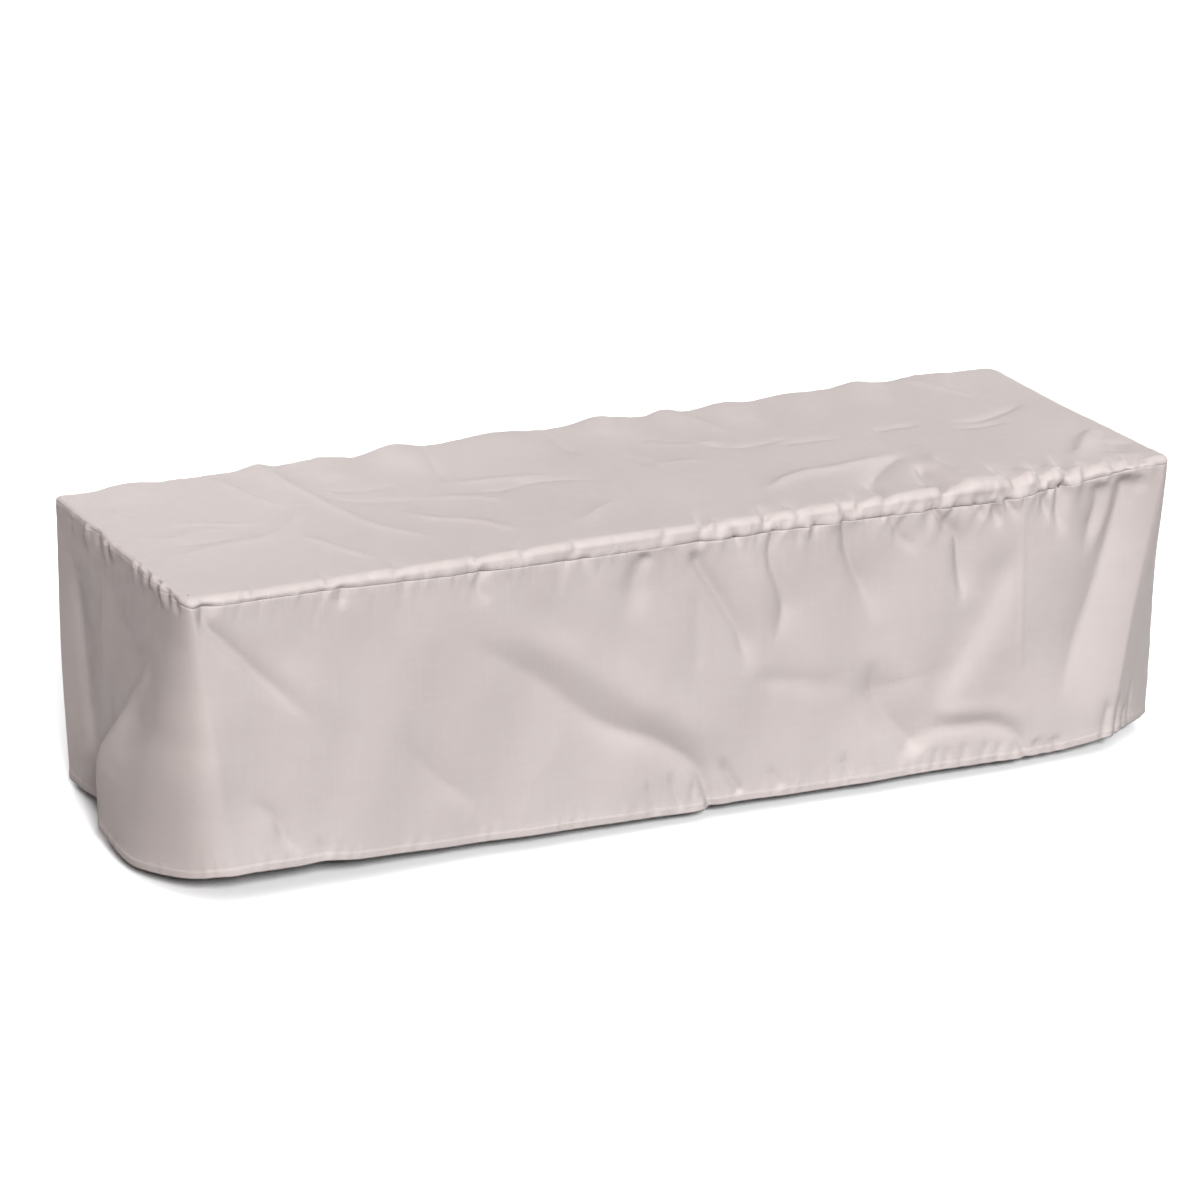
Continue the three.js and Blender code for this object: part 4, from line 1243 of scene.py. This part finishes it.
@dataclass
class Skirt:
    """The band round all four sides, from the seam to the hem."""

    form: CoverForm
    columns: Columns
    row_stops: tuple[float, ...] = (0, 0.045, 0.2, 0.9, 0.96, 1)
    rows: tuple[int, ...] = (8, 10, 40, 6, 8)
    thickness: float = 3.0
    edge_thickness: float = 1.2

    def build(self) -> bpy.types.Object:
        """Works out the band's points and makes its mesh, with its rows evenly spaced between the row stops.

        Returns:
            The skirt's object.
        """
        stations = self.columns.stations()
        seam = EDGE.at("seam", stations) + SEAM_GAP / 2
        hem = EDGE.at("hem", stations)
        share = spaced(self.row_stops, self.rows)[:, None]
        depth = seam + share * (hem - seam)
        around = np.broadcast_to(stations, depth.shape)
        below, over = (depth - seam)[:, :-1].ravel(), (hem - depth)[:, :-1].ravel()
        points = self.form.sides(around, depth)[:, :-1]
        rows, count = points.shape[:2]
        grid = np.arange(rows * count).reshape(rows, count)
        grid = np.hstack([grid, grid[:, :1]])
        uv = np.dstack([around, -depth])
        thickness = thinned(np.minimum(below, over), self.thickness, self.edge_thickness)
        shell = Shell(points.reshape(-1, 3), thickness, [(grid, uv)], [grid[0, ::-1], grid[-1]])
        return shell.mesh("skirt_band", {"from_seam": below, "from_hem": over})


@dataclass(frozen=True)
class StitchRow:
    """A row of machine stitches all round, at a distance above the seam or the hem."""

    name: str
    edge: str
    above: float
    pitch: float = 4.0
    stitch: float = 3.0
    half_width: float = 0.45
    height: float = 0.5
    sunk: float = 0.25
    slant: float = 0.25
    seed: int = 5

    def build(self, form: CoverForm) -> bpy.types.Object:
        """Makes the row as one joined mesh of low ridges, each a lozenge with a raised middle line.

        Each stitch has eight points: its two ends, two on each flank at 0.3 of the way from an end, and two
        on the crown at a quarter. The ends lie in the cloth and the crown stands over it.

        Args:
            form: the cover's form, which places each point on the cloth.

        Returns:
            The row's object.
        """
        count = int(ROUND / self.pitch)
        middle = (np.arange(count) + 0.5) * ROUND / count - ROUND / 2
        slant = np.random.default_rng(self.seed).uniform(-self.slant, self.slant, count)
        depth = EDGE.at(self.edge, middle) - self.above
        along = np.array([-0.5, 0.5, -0.2, 0.2, -0.2, 0.2, -0.25, 0.25]) * self.stitch
        aside = np.array([0, 0, 1, 1, -1, -1, 0, 0]) * self.half_width
        over = np.array([-self.sunk, -self.sunk, 0, 0, 0, 0, self.height, self.height])
        station = middle[:, None] + along
        down = depth[:, None] + aside + slant[:, None] * along / self.stitch
        points = np.stack([form.sides(station[:, k], down[:, k], over[k]) for k in range(8)], axis=1)
        faces = np.array([(0, 2, 6), (2, 3, 7), (2, 7, 6), (3, 1, 7), (0, 6, 4), (4, 6, 7),
                          (4, 7, 5), (5, 7, 1), (0, 4, 2), (4, 5, 3), (4, 3, 2), (5, 1, 3)])
        triangles = (faces + 8 * np.arange(count)[:, None, None]).reshape(-1, 3)
        return linked_mesh(self.name, points.reshape(-1, 3), (triangles,))


class Nodes:
    """A short way to write shader nodes in one material."""

    def __init__(self, name: str) -> None:
        """Starts a material with its own node tree.

        Args:
            name: the material's name.
        """
        self.material = bpy.data.materials.new(name)
        self.material.use_nodes = True
        self.tree = self.material.node_tree
        self.shader = self.tree.nodes["Principled BSDF"]

    def fill(self, node: bpy.types.Node, inputs: dict[str, object]) -> None:
        """Sets a node's sockets, or links those whose value is another node's socket.

        Args:
            node: the node.
            inputs: values by the sockets' names or, for i0 to i9, by number.
        """
        for key, value in inputs.items():
            socket = node.inputs[int(key[1:])] if key[0] == "i" and key[1:].isdigit() else node.inputs[key]
            if isinstance(value, bpy.types.NodeSocket):
                self.tree.links.new(value, socket)
            else:
                socket.default_value = value

    def surface(self, inputs: dict[str, object]) -> bpy.types.Material:
        """Fills the sockets of the material's own shader and gives the finished material."""
        self.fill(self.shader, inputs)
        return self.material

    def add(self, kind: str, settings: dict[str, object] | None = None, **inputs: object) -> bpy.types.Node:
        """Adds a node.

        Args:
            kind: the node's type.
            settings: its own settings.
            inputs: its sockets' values, as fill takes them.

        Returns:
            The node.
        """
        node = self.tree.nodes.new(kind)
        for key, value in (settings or {}).items():
            setattr(node, key, value)
        self.fill(node, inputs)
        return node

    def maths(self, operation: str, *values: object) -> bpy.types.NodeSocket:
        """A sum, product or other function of one to three values."""
        numbered = {f"i{k}": value for k, value in enumerate(values)}
        return self.add("ShaderNodeMath", {"operation": operation}, **numbered).outputs[0]

    def spread(self, value: object, *ends: float) -> bpy.types.NodeSocket:
        """A value carried from one range to another and held at its ends: low, high, new low, new high."""
        numbered = {f"i{k}": end for k, end in enumerate(ends, 1)}
        return self.add("ShaderNodeMapRange", None, i0=value, **numbered).outputs[0]

    def noise(self, where: object, scale: float, detail: float,
              roughness: float = 0.5) -> bpy.types.NodeSocket:
        """Cloudy noise from 0 to 1."""
        return self.add("ShaderNodeTexNoise", None, Vector=where, Scale=scale, Detail=detail,
                        Roughness=roughness).outputs["Fac"]

    def stretched(self, where: object, *scale: float) -> bpy.types.NodeSocket:
        """Coordinates scaled along each of the three axes."""
        return self.add("ShaderNodeMapping", None, i0=where, i3=scale).outputs[0]

    def shaded(self, colour: object, value: object) -> bpy.types.NodeSocket:
        """A colour with its brightness multiplied by a value."""
        return self.add("ShaderNodeHueSaturation", None, Color=colour, Value=value).outputs[0]

    def bump(self, height: object, strength: float, distance: float, **below: object) -> bpy.types.NodeSocket:
        """A normal bent by a height, on top of the normal below it if one is given."""
        return self.add("ShaderNodeBump", None, Strength=strength, Distance=distance, Height=height,
                        **below).outputs[0]


@dataclass(frozen=True)
class CoatedCloth:
    """Pale taupe coated polyester: a fine plain weave under a thin satin coating.

    The weave is two crossed sets of threads. Small creases run over the whole cloth, fine puckers stand
    along the seam and the hem, and dust and handling make the colour and the gloss uneven.
    """

    name: str = "taupe_cloth"
    colour: tuple[float, float, float] = (0.378, 0.341, 0.334)
    dusty: tuple[float, float, float] = (0.41, 0.377, 0.366)
    roughness: float = 0.52
    sheen: float = 0.06
    coat: float = 0.03
    threads_per_metre: float = 1250.0
    seam_pucker_reach: float = 15.0
    hem_pucker_reach: float = 12.0
    hem_pucker_up: float = 14.0
    hem_pucker_share: float = 0.6
    rumple_share: float = 0.7

    def material(self) -> bpy.types.Material:
        """Makes the finish.

        Returns:
            The material.
        """
        n = Nodes(self.name)
        uv = n.add("ShaderNodeUVMap", {"uv_map": "cloth"}).outputs[0]
        place = n.add("ShaderNodeTexCoord").outputs["Object"]
        from_hem = n.add("ShaderNodeAttribute", {"attribute_name": "from_hem"}).outputs["Fac"]
        cloudy = n.noise(place, 3.2, 4.0, 0.55)
        mottle = n.noise(place, 34.0, 5.0, 0.6)
        low = n.spread(from_hem, 0.0, 130.0, 0.35, 0.0)
        dust = n.maths("ADD", n.maths("ADD", n.spread(cloudy, 0.35, 0.7, 0.0, 0.45),
                                      n.spread(mottle, 0.4, 0.75, 0.0, 0.25)), low)
        blend = n.add("ShaderNodeMix", {"data_type": "RGBA", "clamp_factor": True}, i0=dust,
                      i6=(*self.colour, 1), i7=(*self.dusty, 1)).outputs[2]
        specks = n.noise(uv, 900.0, 2.0)
        grain = n.shaded(blend, n.spread(specks, 0.3, 0.7, 0.965, 1.03))
        parted = n.add("ShaderNodeSeparateXYZ", None, i0=uv).outputs
        turn = 2 * math.pi * self.threads_per_metre
        warp, weft = (n.maths("SINE", n.maths("MULTIPLY", parted[k], turn)) for k in range(2))
        weave = n.maths("MULTIPLY", warp, weft)
        shade = n.shaded(grain, n.spread(weave, -1.0, 1.0, 0.985, 1.012))
        slubs = n.noise(n.stretched(uv, 300.0, 7.0, 1.0), 1.0, 3.0)
        bars = n.noise(n.stretched(uv, 6.0, 260.0, 1.0), 1.0, 3.0)
        uneven = n.shaded(shade, n.spread(n.maths("ADD", slubs, bars), 0.7, 1.3, 0.984, 1.016))
        gloss = n.maths("ADD", n.spread(mottle, 0.3, 0.7, self.roughness - 0.05, self.roughness + 0.07),
                        n.spread(dust, 0.0, 1.0, 0.0, 0.10))
        return n.surface({
            "Base Color": uneven,
            "Roughness": gloss,
            "Sheen Weight": self.sheen,
            "Sheen Roughness": 0.45,
            "Coat Weight": self.coat,
            "Coat Roughness": 0.38,
            "Specular IOR Level": 0.42,
            "Normal": self.relief(n, uv, place, weave, from_hem),
        })

    def relief(self, n: Nodes, uv: bpy.types.NodeSocket, place: bpy.types.NodeSocket,
               weave: bpy.types.NodeSocket, from_hem: bpy.types.NodeSocket) -> bpy.types.NodeSocket:
        """The cloth's small relief: creases, then puckers, then the weave.

        The puckers die away like exp(-d / reach) from the seam and from a line hem_pucker_up over the hem.

        Args:
            n: the material's nodes.
            uv: the cloth's own coordinates in metres.
            place: the place in the object's coordinates.
            weave: the threads' height from -1 to 1.
            from_hem: millimetres over the hem.

        Returns:
            The bent normal.
        """
        warped = n.add("ShaderNodeTexNoise", None, Vector=place, Scale=5.0, Detail=2.0).outputs["Color"]
        shifted = n.add("ShaderNodeVectorMath", {"operation": "MULTIPLY_ADD"}, i0=warped,
                        i1=(0.10, 0.10, 0.10), i2=place).outputs[0]
        creases = n.add("ShaderNodeTexVoronoi", {"feature": "DISTANCE_TO_EDGE"}, Vector=shifted,
                        Scale=5.5).outputs["Distance"]
        ridge = n.spread(creases, 0.0, 0.06, 1.0, 0.0)
        patchy = n.spread(n.noise(place, 2.6, 1.0), 0.45, 0.7, 0.0, 0.35)
        rumple = n.maths("MULTIPLY", n.noise(shifted, 14.0, 4.0), self.rumple_share)
        height = n.maths("ADD", n.maths("MULTIPLY", ridge, patchy), rumple)
        broad = n.bump(height, 0.55, 0.0016)
        from_seam = n.add("ShaderNodeAttribute", {"attribute_name": "from_seam"}).outputs["Fac"]
        at_seam = self.fading(n, from_seam, self.seam_pucker_reach)
        over_line = n.maths("SUBTRACT", from_hem, self.hem_pucker_up)
        at_hem = self.fading(n, over_line, self.hem_pucker_reach)
        near = n.maths("MAXIMUM", at_seam, n.maths("MULTIPLY", at_hem, self.hem_pucker_share))
        patches = n.spread(n.noise(place, 7.0, 1.0), 0.42, 0.62, 0.15, 1.0)
        puckers = n.noise(n.stretched(uv, 95.0, 14.0, 1.0), 1.0, 3.0, 0.55)
        drawn = n.maths("MULTIPLY", puckers, n.maths("MULTIPLY", near, patches))
        fine = n.bump(drawn, 0.9, 0.0042, Normal=broad)
        return n.bump(weave, 0.35, 0.00025, Normal=fine)

    @staticmethod
    def fading(n: Nodes, distance: bpy.types.NodeSocket, reach: float) -> bpy.types.NodeSocket:
        """A value that falls away on both sides of a line, exp(-|distance| / reach)."""
        return n.maths("EXPONENT", n.maths("MULTIPLY", n.maths("ABSOLUTE", distance), -1 / reach))


@dataclass(frozen=True)
class InnerCoating:
    """The cover's inner face: a dull dark grey-brown waterproof coating with a faint rubbed cloudiness."""

    name: str = "inner_coating"
    colour: tuple[float, float, float] = (0.20, 0.16, 0.145)
    roughness: float = 0.62

    def material(self) -> bpy.types.Material:
        """Makes the finish.

        Returns:
            The material.
        """
        n = Nodes(self.name)
        place = n.add("ShaderNodeTexCoord").outputs["Object"]
        cloudy = n.noise(place, 9.0, 4.0)
        return n.surface({
            "Base Color": n.shaded((*self.colour, 1), n.spread(cloudy, 0.3, 0.7, 0.86, 1.14)),
            "Roughness": n.spread(cloudy, 0.3, 0.7, self.roughness - 0.08, self.roughness + 0.08),
            "Normal": n.bump(n.noise(place, 420.0, 2.0), 0.3, 0.0004),
        })


@dataclass(frozen=True)
class Thread:
    """Twisted polyester sewing thread, a little paler than the cloth."""

    name: str = "taupe_thread"
    colour: tuple[float, float, float] = (0.45, 0.40, 0.385)
    roughness: float = 0.5

    def material(self) -> bpy.types.Material:
        """Makes the finish.

        Returns:
            The material.
        """
        n = Nodes(self.name)
        place = n.add("ShaderNodeTexCoord").outputs["Object"]
        twist = n.add("ShaderNodeTexWave", {"bands_direction": "DIAGONAL"}, Vector=place, Scale=420.0,
                      Distortion=1.5).outputs["Fac"]
        return n.surface({
            "Base Color": n.shaded((*self.colour, 1), n.spread(twist, 0.0, 1.0, 0.82, 1.06)),
            "Roughness": self.roughness,
            "Sheen Weight": 0.4,
        })


@dataclass(frozen=True)
class StudioView:
    """The camera at the photograph's viewing angle, with a long lens."""

    azimuth: float = -25.3
    elevation: float = 19.0
    distance: float = 9311.0
    focal_pixels: float = 4826.0
    frame_pixels: float = 1200.0
    aim: tuple[float, float, float] = (-69.0, -59.0, -227.0)

    def place(self) -> None:
        """Makes the camera and sets it as the scene's."""
        camera = bpy.data.cameras.new("camera")
        camera.sensor_fit = "HORIZONTAL"
        camera.sensor_width = 36.0
        camera.lens = self.focal_pixels / self.frame_pixels * camera.sensor_width
        camera.clip_end = 60.0
        back = direction(self.azimuth, self.elevation)
        where = (Vector(self.aim) + back * self.distance) * MM
        bpy.context.scene.camera = placed("camera", camera, where, back)


@dataclass(frozen=True)
class Softbox:
    """A square studio light that faces the cover, out of the camera's sight. Its sizes are in metres."""

    name: str
    azimuth: float
    elevation: float
    distance: float
    size: float
    power: float
    tint: tuple[float, float, float] = (1.0, 1.0, 1.0)
    toward: tuple[float, float, float] = (0.0, 0.0, -0.3)

    def place(self) -> None:
        """Makes the light, turned to the place that it faces."""
        light = bpy.data.lights.new(self.name, "AREA")
        light.shape = "SQUARE"
        light.size = self.size
        light.energy = self.power
        light.color = self.tint
        back = direction(self.azimuth, self.elevation)
        holder = placed(self.name, light, back * self.distance + Vector(self.toward), back)
        holder.visible_camera = False


@dataclass(frozen=True)
class FarLight:
    """A light as even as a large far softbox. Its spread is the angle that it fills, in degrees."""

    name: str
    azimuth: float
    elevation: float
    spread: float
    power: float
    tint: tuple[float, float, float] = (1.0, 1.0, 1.0)
    distance: float = 5.0

    def place(self) -> None:
        """Makes the light."""
        light = bpy.data.lights.new(self.name, "SUN")
        light.color = self.tint
        light.angle = math.radians(self.spread)
        light.energy = self.power
        back = direction(self.azimuth, self.elevation)
        placed(self.name, light, back * self.distance, back)


@dataclass(frozen=True)
class Studio:
    """A plain pale floor, soft lights, and a surround that is dark at the horizon and bright overhead.

    The floor throws no light back on the cloth. The surround brightens between the two heights in
    overhead_from, where 1 is straight up.
    """

    floor_depth: float = 592.0
    floor_half: float = 30000.0
    floor_colour: float = 0.9
    floor_roughness: float = 0.9
    horizon: float = 0.03
    overhead: float = 0.97
    overhead_from: tuple[float, float] = (0.45, 0.78)
    exposure: float = 0.35
    gamma: float = 0.80
    lights: tuple[Softbox | FarLight, ...] = (
        FarLight("key", -12, 28, 16, 4.3),
        FarLight("left_fill", -85, 10, 60, 0.68, (1.0, 0.84, 0.81)),
        FarLight("back_fill", 130, 4, 30, 0.8),
        Softbox("sheen", 166, 20, 2.6, 1.3, 9, (1.0, 0.99, 0.98), (-0.9, 0.0, 0.0)),
    )

    def build(self) -> None:
        """Makes the floor, the surround and the lights."""
        half, z = self.floor_half, -self.floor_depth
        corners = np.array([(-half, -half, z), (half, -half, z), (half, half, z), (-half, half, z)])
        floor = linked_mesh("floor", corners, (np.arange(4)[None],))
        floor.visible_diffuse = False
        grey = (self.floor_colour,) * 3
        material = Nodes("pale_floor").surface({"Base Color": (*grey, 1), "Roughness": self.floor_roughness})
        floor.data.materials.append(material)
        for light in self.lights:
            light.place()
        world = bpy.data.worlds.new("surround")
        world.use_nodes = True
        tree = world.node_tree
        parted = tree.nodes.new("ShaderNodeSeparateXYZ")
        tree.links.new(tree.nodes.new("ShaderNodeTexCoord").outputs["Generated"], parted.inputs[0])
        height = tree.nodes.new("ShaderNodeMapRange")
        tree.links.new(parted.outputs[2], height.inputs[0])
        for k, value in enumerate((*self.overhead_from, self.horizon, self.overhead), 1):
            height.inputs[k].default_value = value
        tree.nodes["Background"].inputs["Color"].default_value = (1, 1, 1, 1)
        tree.links.new(height.outputs[0], tree.nodes["Background"].inputs["Strength"])
        bpy.context.scene.world = world
        view = bpy.context.scene.view_settings
        view.view_transform = "Standard"
        view.exposure = self.exposure
        view.gamma = self.gamma


def main() -> None:
    """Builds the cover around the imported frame, dresses it and sets the studio."""
    logging.basicConfig(level=logging.INFO, format="%(name)s: %(message)s")
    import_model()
    StudioView().place()
    form, columns = CoverForm(), Columns()
    cloth, lining, thread = CoatedCloth().material(), InnerCoating().material(), Thread().material()
    sewn = (
        (TopPanel(form, columns), "top_panel", (0.75, 2.10), "chair_top",
         StitchRow("seam_stitches", "seam", form.sewing.seam_stitch_up)),
        (Skirt(form, columns), "skirt", (0.58, 5.60), "top_panel",
         StitchRow("hem_stitches", "hem", form.sewing.stitch_up)),
    )
    for part, node, flat, rests_on, stitches in sewn:
        piece = part.build()
        piece.data.materials.append(cloth)
        piece.data.materials.append(lining)
        row = stitches.build(form)
        row.data.materials.append(thread)
        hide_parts(node)
        for made in (piece, row):
            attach(made, "root")
            log.info("%s has %d faces", made.name, len(made.data.polygons))
    Studio().build()


if __name__ == "__main__":
    main()
